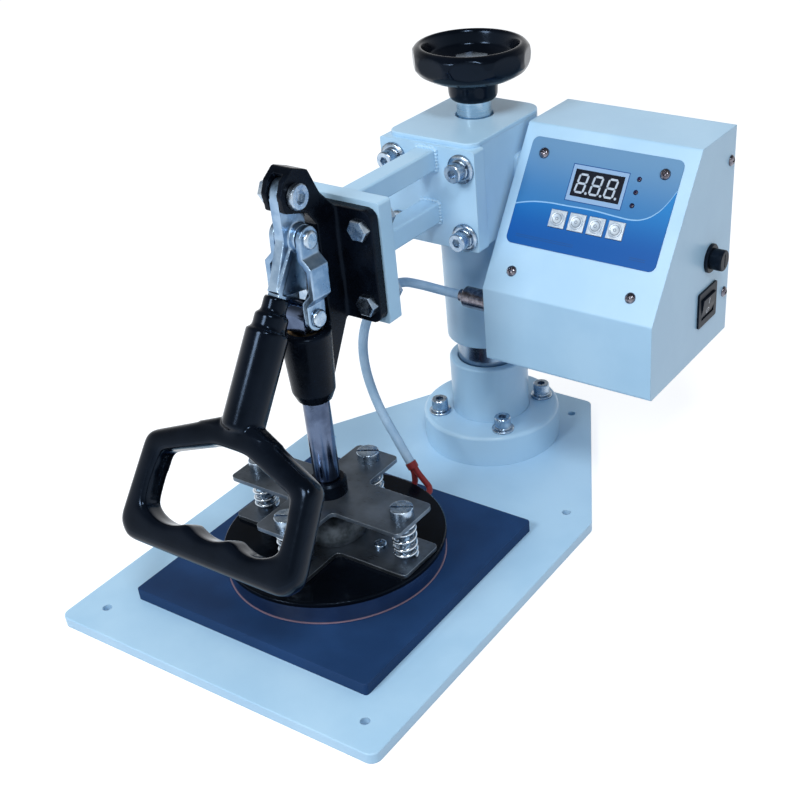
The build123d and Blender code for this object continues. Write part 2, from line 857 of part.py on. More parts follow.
# Rivets in the straps' upper eyes
rivet_head_r = 6.0
rivet_head_h = 2.6
rivet_round = 1.8
with BuildPart() as link_rivets:
    with BuildSketch(side_plane(link_in)):
        with Locations((knee_y, knee_z)):
            Circle(pin_r)
    extrude(amount=link_thick)
    with BuildSketch(side_plane(link_out)):
        with Locations((knee_y, knee_z)):
            Circle(rivet_head_r)
    extrude(amount=rivet_head_h)
    fillet(link_rivets.edges().group_by(Axis.X)[-1], rivet_round)
    mirror(about=Plane.YZ)
save(link_rivets.part, "link_rivets")

# Plunger rod with its crosshead
rod_bottom = 74.0
cross_bottom = 198.0
cross_half = 9.0
with BuildPart() as plunger_rod:
    with BuildSketch(Plane.XY.offset(rod_bottom)):
        with Locations((0, press_y)):
            Circle(rod_r)
    extrude(amount=cross_bottom - rod_bottom)
    with BuildSketch(side_plane(-boss_half)):
        with Locations((press_y, wrist_z)):
            Circle(cross_half)
        with Locations((press_y, (cross_bottom + wrist_z) / 2)):
            Rectangle(2 * cross_half, wrist_z - cross_bottom)
    extrude(amount=2 * boss_half)
    with BuildSketch(side_plane(-boss_half)):
        with Locations((press_y, wrist_z)):
            Circle(pin_r + press_gap)
    extrude(amount=2 * boss_half, mode=Mode.SUBTRACT)
save(plunger_rod.part, "plunger_rod")

# Pin of the crosshead, headed on both sides
pin_seat = link_out + side_gap
with BuildPart() as plunger_pin:
    with BuildSketch(side_plane(-pin_seat)):
        with Locations((press_y, wrist_z)):
            Circle(pin_r)
    extrude(amount=2 * pin_seat)
    with BuildSketch(side_plane(pin_seat)):
        with Locations((press_y, wrist_z)):
            Circle(rivet_head_r)
    extrude(amount=rivet_head_h)
    with BuildSketch(side_plane(-pin_seat)):
        with Locations((press_y, wrist_z)):
            Circle(rivet_head_r)
    extrude(amount=-rivet_head_h)
    fillet(plunger_pin.edges().group_by(Axis.X)[-1], rivet_round)
    fillet(plunger_pin.edges().group_by(Axis.X)[0], rivet_round)
save(plunger_pin.part, "plunger_pin")

# Black hub on the rod's foot with its stem through the upper cross
stem_bottom = 47.0
hub_edge = 1.5
with BuildPart() as rod_hub:
    with BuildSketch(Plane.XZ.offset(-press_y)):
        with BuildLine():
            Polyline(
                (0, stem_bottom),
                (stem_r - 1, stem_bottom),
                (stem_r, stem_bottom + 1),
                (stem_r, upper_top),
                (hub_r, upper_top),
                (hub_r, hub_top - hub_edge),
                (hub_r - hub_edge, hub_top),
                (rod_r + press_gap, hub_top),
                (rod_r + press_gap, rod_bottom),
                (0, rod_bottom),
                close=True,
            )
        make_face()
    revolve(axis=Axis(origin=(0, press_y, 0), direction=(0, 0, 1)))
save(rod_hub.part, "rod_hub")

# Upper cross plate that the plunger pushes
spring_points = [
    (screw_x, press_y),
    (-screw_x, press_y),
    (0, press_y + screw_y),
    (0, press_y - screw_y),
]
with BuildPart() as upper_cross:
    with BuildSketch(Plane.XY.offset(upper_bottom)) as upper_outline:
        with Locations((0, press_y)):
            Rectangle(2 * arm_tip_x, 2 * arm_half_x)
            Rectangle(2 * arm_half_y, 2 * arm_tip_y)
        fillet(upper_outline.vertices(), cross_corner_r)
        with Locations((0, press_y)):
            Circle(stem_r + press_gap, mode=Mode.SUBTRACT)
        with Locations(spring_points):
            Circle(shoulder_hole_r, mode=Mode.SUBTRACT)
    extrude(amount=upper_thick)
save(upper_cross.part, "upper_cross")

# Four coil springs round the shoulder screws
spring_seat = 0.15
spring_low = lower_top + spring_wire_r + spring_seat
spring_high = upper_bottom - spring_wire_r - spring_seat
with BuildPart() as pressure_springs:
    for spring_x, spring_y in spring_points:
        with BuildLine() as coil:
            Helix(
                pitch=(spring_high - spring_low) / spring_turns,
                height=spring_high - spring_low,
                radius=spring_r,
                center=(spring_x, spring_y, spring_low),
            )
        with BuildSketch(Plane(origin=coil.line @ 0, z_dir=coil.line % 0)):
            Circle(spring_wire_r)
        sweep(path=coil.line)
save(pressure_springs.part, "pressure_springs")

# Lower cross plate screwed to the platen
platen_screw_x = 40.0
platen_screw_y = 30.0
platen_points = [
    (platen_screw_x, press_y),
    (-platen_screw_x, press_y),
    (0, press_y + platen_screw_y),
    (0, press_y - platen_screw_y),
]
with BuildPart() as lower_cross:
    with BuildSketch(Plane.XY.offset(cover_top)) as lower_outline:
        with Locations((0, press_y)):
            Rectangle(2 * (arm_tip_x + lower_over), 2 * arm_half_x)
            Rectangle(2 * arm_half_y, 2 * arm_tip_y)
        fillet(lower_outline.vertices(), cross_corner_r)
        with Locations(spring_points + platen_points):
            Circle(thread_r + run_gap, mode=Mode.SUBTRACT)
    extrude(amount=lower_thick)
save(lower_cross.part, "lower_cross")

# Slotted shoulder screws that limit the springs
slot_head_r = 8.0
slot_head_h = 7.0
slot_width = 2.0
slot_deep = 2.5
slot_turn = 30
slot_edge_r = 0.8
with BuildPart() as shoulder_screws:
    with BuildSketch(Plane.XY.offset(upper_top)):
        with Locations(spring_points):
            Circle(slot_head_r)
    extrude(amount=slot_head_h)
    fillet(shoulder_screws.edges().group_by(Axis.Z)[-1], slot_edge_r)
    with BuildSketch(Plane.XY.offset(lower_top)):
        with Locations(spring_points):
            Circle(shoulder_r)
    extrude(amount=upper_top - lower_top)
    with BuildSketch(Plane.XY.offset(thread_bottom)):
        with Locations(spring_points):
            Circle(thread_r)
    extrude(amount=lower_top - thread_bottom)
    with BuildSketch(Plane.XY.offset(upper_top + slot_head_h)):
        with Locations(spring_points):
            Rectangle(2 * slot_head_r + slot_width, slot_width, rotation=slot_turn)
    extrude(amount=-slot_deep, mode=Mode.SUBTRACT)
save(shoulder_screws.part, "shoulder_screws")

# Cast bell that guides the stem
with BuildPart() as pressure_dome:
    with BuildSketch(Plane.XZ.offset(-press_y)):
        with BuildLine():
            Polyline(
                (stem_r + 2 * run_gap, lower_top),
                (dome_r, lower_top),
                (dome_r, lower_top + 4),
                (dome_r - 0.9, lower_top + 8),
                (dome_r - 2.6, lower_top + 12),
                (dome_r - 5.2, lower_top + 15.6),
                (dome_r - 8, dome_top - 0.8),
                (dome_r - 10, dome_top),
                (stem_r + 2 * run_gap, dome_top),
                close=True,
            )
        make_face()
    revolve(axis=Axis(origin=(0, press_y, 0), direction=(0, 0, 1)))
save(pressure_dome.part, "pressure_dome")

# Glossy cover over the heating plate, with a short lip
lip_depth = 1.6
with BuildPart() as platen_cover:
    with BuildSketch(Plane.XY.offset(plate_top)):
        with Locations((0, press_y)):
            Circle(cover_r)
        with Locations(spring_points + platen_points):
            Circle(thread_r + run_gap, mode=Mode.SUBTRACT)
    extrude(amount=cover_thick)
    with BuildSketch(Plane.XY.offset(plate_top - lip_depth)):
        with Locations((0, press_y)):
            Circle(cover_r)
            Circle(plate_r + side_gap, mode=Mode.SUBTRACT)
    extrude(amount=lip_depth)
    fillet(platen_cover.edges().group_by(Axis.Z)[-1].sort_by(SortBy.LENGTH)[-1:], cover_edge_r)
save(platen_cover.part, "platen_cover")

# Heating plate with the groove for its element
tail_x = (9.0, 24.0)
hole_end_gap = 1.0
with BuildPart() as heating_plate:
    with BuildSketch(Plane.XY.offset(plate_bottom)):
        with Locations((0, press_y)):
            Circle(plate_r)
    extrude(amount=plate_top - plate_bottom)
    fillet(heating_plate.edges().group_by(Axis.Z)[0], plate_edge_r)
    with BuildSketch(Plane.XY.offset(plate_top)):
        with Locations((0, press_y)):
            Circle(groove_r + groove_half)
            Circle(groove_r - groove_half, mode=Mode.SUBTRACT)
        for x in tail_x:
            with Locations((x, press_y + (groove_r + plate_r) / 2)):
                Rectangle(2 * groove_half, plate_r - groove_r + 6)
    extrude(amount=-2 * groove_half, mode=Mode.SUBTRACT)
    with BuildSketch(Plane.XY.offset(plate_top)):
        with Locations(spring_points + platen_points):
            Circle(thread_r + run_gap)
    extrude(amount=thread_bottom - hole_end_gap - plate_top, mode=Mode.SUBTRACT)
save(heating_plate.part, "heating_plate")

# Tubular element in the groove with its two tails
element_r = 4.0
element_z = plate_top - groove_half
with BuildPart() as heating_element:
    with BuildSketch(Plane.XZ.offset(-press_y)):
        with Locations((groove_r, element_z)):
            Circle(element_r)
    revolve(axis=Axis(origin=(0, press_y, 0), direction=(0, 0, 1)))
    with BuildSketch(Plane.XY.offset(element_z - element_r - 1)):
        with Locations((sum(tail_x) / 2, press_y + groove_r)):
            Rectangle(tail_x[1] - tail_x[0] - 1, 4 * element_r)
    extrude(amount=2 * element_r + 2, mode=Mode.SUBTRACT)
    with BuildSketch(Plane.XZ.offset(-press_y - groove_r)):
        for x in tail_x:
            with Locations((x, element_z)):
                Circle(element_r - 1)
    extrude(amount=-(plate_r - groove_r - 8))
save(heating_element.part, "heating_element")

# Thin release sheet under the plate
with BuildPart() as release_sheet:
    with BuildSketch(Plane.XY.offset(sheet_bottom)):
        with Locations((0, press_y)):
            Circle(plate_r + sheet_over)
    extrude(amount=sheet_thick)
save(release_sheet.part, "release_sheet")

# Pan-head screws of the lower cross
pan_r = 4.6
pan_h = 3.0
pan_round = 1.4
cross_slot = (5.2, 1.1, 1.6)
with BuildPart() as platen_screws:
    with BuildSketch(Plane.XY.offset(thread_bottom)):
        with Locations(platen_points):
            Circle(thread_r)
    extrude(amount=lower_top - thread_bottom)
    with BuildSketch(Plane.XY.offset(lower_top)):
        with Locations(platen_points):
            Circle(pan_r)
    extrude(amount=pan_h)
    fillet(platen_screws.edges().group_by(Axis.Z)[-1], pan_round)
    with BuildSketch(Plane.XY.offset(lower_top + pan_h)):
        with Locations(platen_points):
            Rectangle(cross_slot[0], cross_slot[1])
            Rectangle(cross_slot[1], cross_slot[0])
    extrude(amount=-cross_slot[2], mode=Mode.SUBTRACT)
save(platen_screws.part, "platen_screws")

# Lobed handwheel with a dished top
wheel_lobes = 9
lobe_share = 0.955
wheel_axis_hole = wheel_bore_r + press_gap
with BuildPart() as handwheel:
    with BuildSketch(Plane.XZ):
        with BuildLine():
            Polyline(
                (wheel_axis_hole, wheel_bottom),
                (wheel_hub_r - 4.5, wheel_bottom),
                (wheel_hub_r - 2, wheel_bottom + 1),
                (wheel_hub_r - 0.6, wheel_bottom + 3.5),
                (wheel_hub_r, wheel_bottom + wheel_hub_h),
                (wheel_hub_r + 2, wheel_bottom + wheel_hub_h + 1.5),
                (wheel_r - 10, wheel_top - dish_deep - 5),
                (wheel_r - 4, wheel_top - dish_deep - 1.5),
                (wheel_r - 0.8, wheel_top - 14),
                (wheel_r, wheel_top - 9),
                (wheel_r - 0.8, wheel_top - 4),
                (rim_r + 2.6, wheel_top - 1),
                (rim_r, wheel_top),
                (rim_r - 1.4, wheel_top - 0.4),
                (rim_r - 2.4, wheel_top - 2),
                (rim_r - 5, wheel_top - dish_deep + 7),
                (rim_r - 12, wheel_top - dish_deep + 2),
                (rim_r - 22, wheel_top - dish_deep),
                (wheel_axis_hole, wheel_top - dish_deep),
                close=True,
            )
        make_face()
    revolve(axis=Axis.Z)
    with BuildSketch(Plane.XY.offset(wheel_bottom)):
        Circle(1.2 * wheel_r)
        RegularPolygon(lobe_share * wheel_r, wheel_lobes, major_radius=False, mode=Mode.SUBTRACT)
    extrude(amount=wheel_top - wheel_bottom, mode=Mode.SUBTRACT)
save(handwheel.part, "handwheel")

# Zinc sleeve between block and wheel
with BuildPart() as wheel_sleeve:
    with BuildSketch(Plane.XY.offset(shaft_seat)):
        Circle(shaft_r)
        Circle(wheel_axis_hole, mode=Mode.SUBTRACT)
    extrude(amount=wheel_bottom - shaft_seat)
save(wheel_sleeve.part, "wheel_sleeve")

# Adjusting screw: head in the dish, collar under the block, thread in the post
screw_low = 120.0
screw_collar_r = 14.0
screw_collar_t = 5.0
screw_head_flat = 24.0
screw_head_h = 7.0
screw_chamfer = 1.1
with BuildPart() as adjusting_screw:
    with BuildSketch(Plane.XY.offset(screw_low)):
        Circle(wheel_bore_r)
    extrude(amount=wheel_top - dish_deep - screw_low)
    chamfer(adjusting_screw.edges().group_by(Axis.Z)[0], screw_chamfer)
    with BuildSketch(Plane.XY.offset(bore_top - run_gap - screw_collar_t)):
        Circle(screw_collar_r)
    extrude(amount=screw_collar_t)
    with BuildSketch(Plane.XY.offset(wheel_top - dish_deep)):
        RegularPolygon(screw_head_flat / 2, 6, major_radius=False)
    extrude(amount=screw_head_h)
    chamfer(adjusting_screw.edges().group_by(Axis.Z)[-1], screw_chamfer)
save(adjusting_screw.part, "adjusting_screw")

# Bracket between head block and control box
bracket_y = 10.0
bracket_z = 230.0
bracket_w = 34.0
bracket_h = 42.0
bracket_corner_r = 4.0
with BuildPart() as box_bracket:
    with BuildSketch(side_plane(block_half)):
        with Locations((bracket_y, bracket_z)):
            RectangleRounded(bracket_w, bracket_h, bracket_corner_r)
    extrude(amount=box_left - block_half)
save(box_bracket.part, "box_bracket")

# Folded sheet shell of the control box, open at the back
inner_left = box_left + sheet
inner_right = box_right - sheet
back_gap = 0.2
fold_r = 2.5
socket_r = 5.0
inlet_z = 146.0
inlet_x = 150.0
fuse_body_r = 8.0
rocker_body_in = 5.0
with BuildPart() as box_shell:
    with BuildSketch(side_plane(box_left)) as shell_side:
        with BuildLine():
            Polyline(
                (box_front, box_bottom),
                (box_front, box_knee),
                (box_ridge_y, box_top),
                (box_rear, box_top),
                (box_rear, box_bottom),
                close=True,
            )
        make_face()
        fillet(shell_side.vertices().group_by(Axis.X)[0], fold_r)
        fillet(shell_side.vertices().sort_by(Axis.Y)[-2:].sort_by(Axis.X)[:1], fold_r)
    extrude(amount=box_right - box_left)
    back_face = box_shell.faces().sort_by(Axis.Y)[-1]
    offset(amount=-sheet, openings=back_face)
    with BuildSketch(panel_plane):
        with Locations((window_x, window_s)):
            Rectangle(window_w + 2 * back_gap, window_h + 2 * back_gap)
        with Locations([(x, button_s) for x in button_x]):
            Rectangle(button_size + 2 * back_gap, button_size + 2 * back_gap)
        with Locations([(lamp_x, s) for s in lamp_s]):
            Circle(lamp_r + back_gap)
        with Locations(panel_screws):
            Circle(m4_clear_r)
    extrude(amount=-sheet, mode=Mode.SUBTRACT)
    with BuildSketch(side_plane(box_left)):
        with Locations((plug_y, plug_z)):
            Circle(socket_r + back_gap)
    extrude(amount=sheet, mode=Mode.SUBTRACT)
    with BuildSketch(side_plane(inner_right)):
        with Locations((fuse_y, fuse_z)):
            Circle(fuse_body_r + back_gap)
        with Locations((rocker_y, rocker_z)):
            Rectangle(rocker_w - rocker_body_in, rocker_h - rocker_body_in)
        with Locations(side_screws):
            Circle(m4_clear_r)
    extrude(amount=sheet, mode=Mode.SUBTRACT)
    with BuildSketch(side_plane(box_left)):
        with Locations(side_screws):
            Circle(m4_clear_r)
    extrude(amount=sheet, mode=Mode.SUBTRACT)
save(box_shell.part, "box_shell")

# Back cover with side tabs and the cut-out of the mains inlet
tab_deep = 12.0
tab_short = 30.0
inlet_w = 27.5
inlet_h = 20.0
inlet_deep = 22.0
inlet_corner_r = 2.0
panel_wide = inner_right - inner_left - 2 * back_gap
panel_tall = box_top - box_bottom - 2 * sheet - 2 * back_gap
with BuildPart() as box_back_panel:
    with BuildSketch(Plane.XZ.offset(-box_rear)):
        with Locations(((box_left + box_right) / 2, (box_bottom + box_top) / 2)):
            Rectangle(panel_wide, panel_tall)
        with Locations((inlet_x, inlet_z)):
            RectangleRounded(
                inlet_h + 2 * back_gap, inlet_w + 2 * back_gap, inlet_corner_r, mode=Mode.SUBTRACT
            )
    extrude(amount=sheet)
    with BuildSketch(Plane.XZ.offset(-box_rear + sheet)):
        for x in (inner_left + back_gap + sheet / 2, inner_right - back_gap - sheet / 2):
            with Locations((x, (box_bottom + box_top) / 2)):
                Rectangle(sheet, box_top - box_bottom - tab_short)
    extrude(amount=tab_deep)
    with BuildSketch(side_plane(box_left)):
        with Locations(side_screws):
            Circle(m4_r + press_gap)
    extrude(amount=box_right - box_left, mode=Mode.SUBTRACT)
save(box_back_panel.part, "box_back_panel")

# Dome-head screws of the sloping front and of both sides
dome_head_r = 3.9
dome_head_h = 2.6
dome_round = 2.2
front_screw_length = 16.0
side_screw_length = 6.0
panel_seats = (label_thick, label_thick, 0, 0)
with BuildPart() as box_screws:
    for place, seat in zip(panel_screws, panel_seats):
        with BuildSketch(panel_plane.offset(seat)):
            with Locations(place):
                Circle(dome_head_r)
        extrude(amount=dome_head_h)
        with BuildSketch(panel_plane.offset(seat)):
            with Locations(place):
                Circle(m4_r)
        extrude(amount=-front_screw_length)
    with BuildSketch(side_plane(box_right)):
        with Locations(side_screws):
            Circle(dome_head_r)
    extrude(amount=dome_head_h)
    with BuildSketch(side_plane(box_right)):
        with Locations(side_screws):
            Circle(m4_r)
    extrude(amount=-side_screw_length)
    with BuildSketch(side_plane(box_left)):
        with Locations(side_screws):
            Circle(dome_head_r)
    extrude(amount=-dome_head_h)
    with BuildSketch(side_plane(box_left)):
        with Locations(side_screws):
            Circle(m4_r)
    extrude(amount=side_screw_length)
    head_rims = box_screws.edges().filter_by(GeomType.CIRCLE).filter_by(
        lambda e: abs(e.radius - dome_head_r) < 0.01
    )
    outer_rims = [
        e
        for e in head_rims
        if abs(e.center().X - box_right - dome_head_h) < 0.01
        or abs(e.center().X - box_left + dome_head_h) < 0.01
        or any(
            abs(panel_plane.to_local_coords(e.center()).Z - seat - dome_head_h) < 0.01
            and abs(panel_plane.to_local_coords(e.center()).X - place[0]) < 0.1
            and abs(panel_plane.to_local_coords(e.center()).Y - place[1]) < 0.1
            for place, seat in zip(panel_screws, panel_seats)
        )
    ]
    fillet(outer_rims, dome_round)
save(box_screws.part, "box_screws")

# Printed overlay on the sloping front
with BuildPart() as label_panel:
    with BuildSketch(panel_plane):
        with Locations(((label_left + label_right) / 2, (label_low + label_high) / 2)):
            RectangleRounded(label_right - label_left, label_high - label_low, label_corner_r)
        with Locations((window_x, window_s)):
            Rectangle(window_w + 2 * back_gap, window_h + 2 * back_gap, mode=Mode.SUBTRACT)
        with Locations([(x, button_s) for x in button_x]):
            Rectangle(
                button_size + 2 * back_gap, button_size + 2 * back_gap, mode=Mode.SUBTRACT
            )
        with Locations([(lamp_x, s) for s in lamp_s]):
            Circle(lamp_r + back_gap, mode=Mode.SUBTRACT)
        with Locations(panel_screws[:2]):
            Circle(m4_clear_r, mode=Mode.SUBTRACT)
    extrude(amount=label_thick)
save(label_panel.part, "label_panel")

# Circuit board with spacers, switches and the transformer block
board_depth = 12.0
board_thick = 1.6
board_margin_x = 9.0
board_margin_s = 10.0
spacer_r = 3.6
switch_size = 6.0
switch_h = 4.0
transformer = (38.0, 32.0, 24.0)
transformer_place = (84.0, 56.0)
relay = (24.0, 12.0, 11.0)
relay_places = ((38.0, 60.0), (38.0, 78.0))
board_width = box_right - box_left - 2 * board_margin_x
board_middle = ((box_right - box_left) / 2 - 1, panel_length / 2 - 2)
board_face = panel_plane.offset(-board_depth)
with BuildPart() as control_board:
    with BuildSketch(board_face):
        with Locations(board_middle):
            Rectangle(board_width, panel_length - 2 * board_margin_s - 4)
        with Locations(panel_screws):
            Circle(m4_r + press_gap, mode=Mode.SUBTRACT)
    extrude(amount=-board_thick)
    with BuildSketch(board_face):
        with Locations(panel_screws):
            Circle(spacer_r)
            Circle(m4_r + press_gap, mode=Mode.SUBTRACT)
    extrude(amount=board_depth - sheet)
    with BuildSketch(board_face):
        with Locations([(x, button_s) for x in button_x]):
            Rectangle(switch_size, switch_size)
    extrude(amount=switch_h)
    with BuildSketch(board_face.offset(-board_thick)):
        with Locations(transformer_place):
            Rectangle(transformer[0], transformer[1])
    extrude(amount=-transformer[2])
    with BuildSketch(board_face.offset(-board_thick)):
        with Locations(relay_places):
            Rectangle(relay[0], relay[1])
    extrude(amount=-relay[2])
save(control_board.part, "control_board")

# Three-digit display module and its three lamps
display_sink = 0.1
lamp_proud = 0.6
lamp_round = 0.9
with BuildPart() as display_module:
    with BuildSketch(board_face):
        with Locations((window_x, window_s)):
            Rectangle(window_w, window_h)
    extrude(amount=board_depth + label_thick - display_sink)
save(display_module.part, "display_module")

with BuildPart() as indicator_leds:
    with BuildSketch(board_face):
        with Locations([(lamp_x, s) for s in lamp_s]):
            Circle(lamp_r)
    extrude(amount=board_depth + label_thick + lamp_proud)
    lamp_rims = indicator_leds.edges().filter_by(GeomType.CIRCLE).filter_by(
        lambda e: panel_plane.to_local_coords(e.center()).Z > label_thick
    )
    fillet(lamp_rims, lamp_round)
save(indicator_leds.part, "indicator_leds")

# Four push buttons, each with a catch behind the panel
cap_proud = 0.9
cap_disc_r = 4.8
cap_disc_h = 0.5
cap_edge_soft = 0.4
catch_over = 1.4
catch_thick = 1.0
stem_gap = 0.2
button_stem_r = 2.0
button_back = sheet + run_gap
button_stem = board_depth - sheet - catch_thick - switch_h - button_travel - stem_gap
for number, x in enumerate(button_x, start=1):
    with BuildPart() as push_button:
        with BuildSketch(panel_plane.offset(-button_back)):
            with Locations((x, button_s)):
                Rectangle(button_size, button_size)
        extrude(amount=button_back + label_thick + cap_proud)
        cap_top = push_button.faces().sort_by(lambda f: panel_plane.to_local_coords(f.center()).Z)[-1]
        fillet(cap_top.edges(), cap_edge_soft)
        with BuildSketch(panel_plane.offset(label_thick + cap_proud)):
            with Locations((x, button_s)):
                Circle(cap_disc_r)
        extrude(amount=cap_disc_h)
        with BuildSketch(panel_plane.offset(-button_back)):
            with Locations((x, button_s)):
                Rectangle(button_size + catch_over, button_size + catch_over)
        extrude(amount=-catch_thick)
        with BuildSketch(panel_plane.offset(-button_back - catch_thick)):
            with Locations((x, button_s)):
                Circle(button_stem_r)
        extrude(amount=-button_stem)
    save(push_button.part, f"button_{number}")

# Mains rocker switch in the right side
bezel_thick = 1.6
rocker_open_w = 21.0
rocker_open_h = 17.0
housing_deep = 22.0
rocker_well = 9.0
rocker_pivot_x = box_right - 1.0
rocker_pin_r = 1.2
pin_deep = 1.2
bezel_corner_r = 1.5
housing_in = rocker_body_in + 2 * back_gap
terminal_pitch = 7.0
terminal = (0.8, 6.3, 8.0)
with BuildPart() as switch_housing:
    with BuildSketch(side_plane(box_right)):
        with Locations((rocker_y, rocker_z)):
            RectangleRounded(rocker_w, rocker_h, bezel_corner_r)
    extrude(amount=bezel_thick)
    with BuildSketch(side_plane(box_right)):
        with Locations((rocker_y, rocker_z)):
            Rectangle(rocker_w - housing_in, rocker_h - housing_in)
    extrude(amount=-housing_deep)
    with BuildSketch(side_plane(box_right + bezel_thick)):
        with Locations((rocker_y, rocker_z)):
            Rectangle(rocker_open_w, rocker_open_h)
    extrude(amount=-bezel_thick - rocker_well, mode=Mode.SUBTRACT)
    with BuildSketch(Plane.XZ.offset(-rocker_y)):
        with Locations((rocker_pivot_x, rocker_z)):
            Circle(rocker_pin_r + run_gap)
    extrude(amount=rocker_open_w / 2 + pin_deep, both=True, mode=Mode.SUBTRACT)
    with BuildSketch(side_plane(box_right - housing_deep)):
        with Locations(
            (rocker_y - terminal_pitch, rocker_z),
            (rocker_y, rocker_z),
            (rocker_y + terminal_pitch, rocker_z),
        ):
            Rectangle(terminal[0], terminal[1])
    extrude(amount=-terminal[2])
save(switch_housing.part, "switch_housing")

# Rocker that tips about a horizontal pin
with BuildPart() as rocker:
    with BuildSketch(Plane.XZ.offset(-rocker_y - rocker_open_w / 2 + side_gap)):
        with BuildLine():
            Polyline(
                (rocker_pivot_x - 4.5, rocker_z - 3),
                (rocker_pivot_x - 1.5, rocker_z - rocker_open_h / 2 + 0.9),
                (rocker_pivot_x + 1.8, rocker_z - rocker_open_h / 2 + 0.5),
                (rocker_pivot_x + 3.4, rocker_z),
                (rocker_pivot_x + 4.2, rocker_z + rocker_open_h / 2 - 1.1),
                (rocker_pivot_x - 1.0, rocker_z + rocker_open_h / 2 - 0.5),
                (rocker_pivot_x - 4.5, rocker_z + 3),
                close=True,
            )
        make_face()
    extrude(amount=rocker_open_w - 2 * side_gap)
    with BuildSketch(Plane.XZ.offset(-rocker_y)):
        with Locations((rocker_pivot_x, rocker_z)):
            Circle(rocker_pin_r)
    extrude(amount=rocker_open_w / 2 + pin_deep - run_gap, both=True)
save(rocker.part, "rocker")

# Panel fuse holder, its cartridge and its turning cap
fuse_flange_r = 10.5
fuse_flange_t = 2.4
fuse_bore_r = 4.6
fuse_deep = 32.0
fuse_glass_r = 2.6
fuse_length = 20.0
fuse_chamfer = 0.4
fuse_nut = 4.0
cap_r = 7.6
cap_h = 9.0
cap_gap = 0.1
cap_round = 1.0
cap_slot = (1.4, 10.0, 1.6)
cap_neck = 8.0
cap_grip = 7.0
with BuildPart() as fuse_holder:
    with BuildSketch(side_plane(box_right)):
        with Locations((fuse_y, fuse_z)):
            Circle(fuse_flange_r)
    extrude(amount=fuse_flange_t)
    chamfer(fuse_holder.edges().group_by(Axis.X)[-1], hex_chamfer)
    with BuildSketch(side_plane(box_right)):
        with Locations((fuse_y, fuse_z)):
            Circle(fuse_body_r)
    extrude(amount=-fuse_deep)
    with BuildSketch(side_plane(inner_right)):
        with Locations((fuse_y, fuse_z)):
            Circle(fuse_flange_r)
            Circle(fuse_body_r, mode=Mode.SUBTRACT)
    extrude(amount=-fuse_nut)
    with BuildSketch(side_plane(box_right + fuse_flange_t)):
        with Locations((fuse_y, fuse_z)):
            Circle(fuse_bore_r)
    extrude(amount=-fuse_deep, mode=Mode.SUBTRACT)
save(fuse_holder.part, "fuse_holder")

cap_face = box_right + fuse_flange_t + cap_gap
with BuildPart() as fuse_cap:
    with BuildSketch(side_plane(cap_face)):
        with Locations((fuse_y, fuse_z)):
            Circle(cap_r)
    extrude(amount=cap_h)
    fillet(fuse_cap.edges().group_by(Axis.X)[-1], cap_round)
    with BuildSketch(side_plane(cap_face + cap_h)):
        with Locations((fuse_y, fuse_z)):
            Rectangle(cap_slot[0], cap_slot[1])
    extrude(amount=-cap_slot[2], mode=Mode.SUBTRACT)
    with BuildSketch(side_plane(cap_face)):
        with Locations((fuse_y, fuse_z)):
            Circle(fuse_bore_r - back_gap)
    extrude(amount=-cap_neck)
    with BuildSketch(side_plane(cap_face - cap_neck)):
        with Locations((fuse_y, fuse_z)):
            Circle(fuse_glass_r + run_gap)
    extrude(amount=cap_grip, mode=Mode.SUBTRACT)
save(fuse_cap.part, "fuse_cap")

with BuildPart() as fuse_cartridge:
    with BuildSketch(side_plane(cap_face - cap_neck + cap_grip - cap_gap)):
        with Locations((fuse_y, fuse_z)):
            Circle(fuse_glass_r)
    extrude(amount=-fuse_length)
    chamfer(fuse_cartridge.edges().group_by(Axis.X)[0], fuse_chamfer)
save(fuse_cartridge.part, "fuse_cartridge")

# Mains inlet in the back cover
inlet_rim = 3.0
inlet_flange = 2.0
inlet_wall = 2.0
inlet_well = 18.0
pin_size = (2.0, 4.0, 13.0)
pin_step_x = 3.0
pin_step_z = 7.0
with BuildPart() as power_inlet:
    with BuildSketch(Plane.XZ.offset(-box_rear)):
        with Locations((inlet_x, inlet_z)):
            RectangleRounded(inlet_h + 2 * inlet_rim, inlet_w + 2 * inlet_rim, inlet_rim)
    extrude(amount=-inlet_flange)
    with BuildSketch(Plane.XZ.offset(-box_rear)):
        with Locations((inlet_x, inlet_z)):
            RectangleRounded(inlet_h, inlet_w, inlet_corner_r)
    extrude(amount=inlet_deep)
    with BuildSketch(Plane.XZ.offset(-box_rear - inlet_flange)):
        with Locations((inlet_x, inlet_z)):
            RectangleRounded(inlet_h - 2 * inlet_wall, inlet_w - 2 * inlet_wall, 0.75 * inlet_corner_r)
    extrude(amount=inlet_well, mode=Mode.SUBTRACT)
    with BuildSketch(Plane.XZ.offset(-box_rear - inlet_flange + inlet_well)):
        with Locations(
            (inlet_x - pin_step_x, inlet_z - pin_step_z),
            (inlet_x + pin_step_x, inlet_z),
            (inlet_x - pin_step_x, inlet_z + pin_step_z),
        ):
            Rectangle(pin_size[0], pin_size[1])
    extrude(amount=-pin_size[2])
save(power_inlet.part, "power_inlet")

# Round socket in the left side and the cable's plug on it
plug_r = 7.7
plug_length = 20.0
socket_nut_r = 8.6
nozzle_r = 4.6
cord_r = 3.5
nut_proud = 3.0
socket_reach = 6.0
socket_body = 16.0
nozzle_length = 4.0
plug_edge = 1.0
with BuildPart() as cable_socket:
    with BuildSketch(side_plane(box_left)):
        with Locations((plug_y, plug_z)):
            Circle(socket_nut_r)
    extrude(amount=-nut_proud)
    chamfer(cable_socket.edges().group_by(Axis.X)[0], hex_chamfer)
    with BuildSketch(side_plane(box_left)):
        with Locations((plug_y, plug_z)):
            Circle(socket_r)
    extrude(amount=socket_body)
    with BuildSketch(side_plane(box_left - nut_proud)):
        with Locations((plug_y, plug_z)):
            Circle(socket_r)
    extrude(amount=-socket_reach)
save(cable_socket.part, "cable_socket")

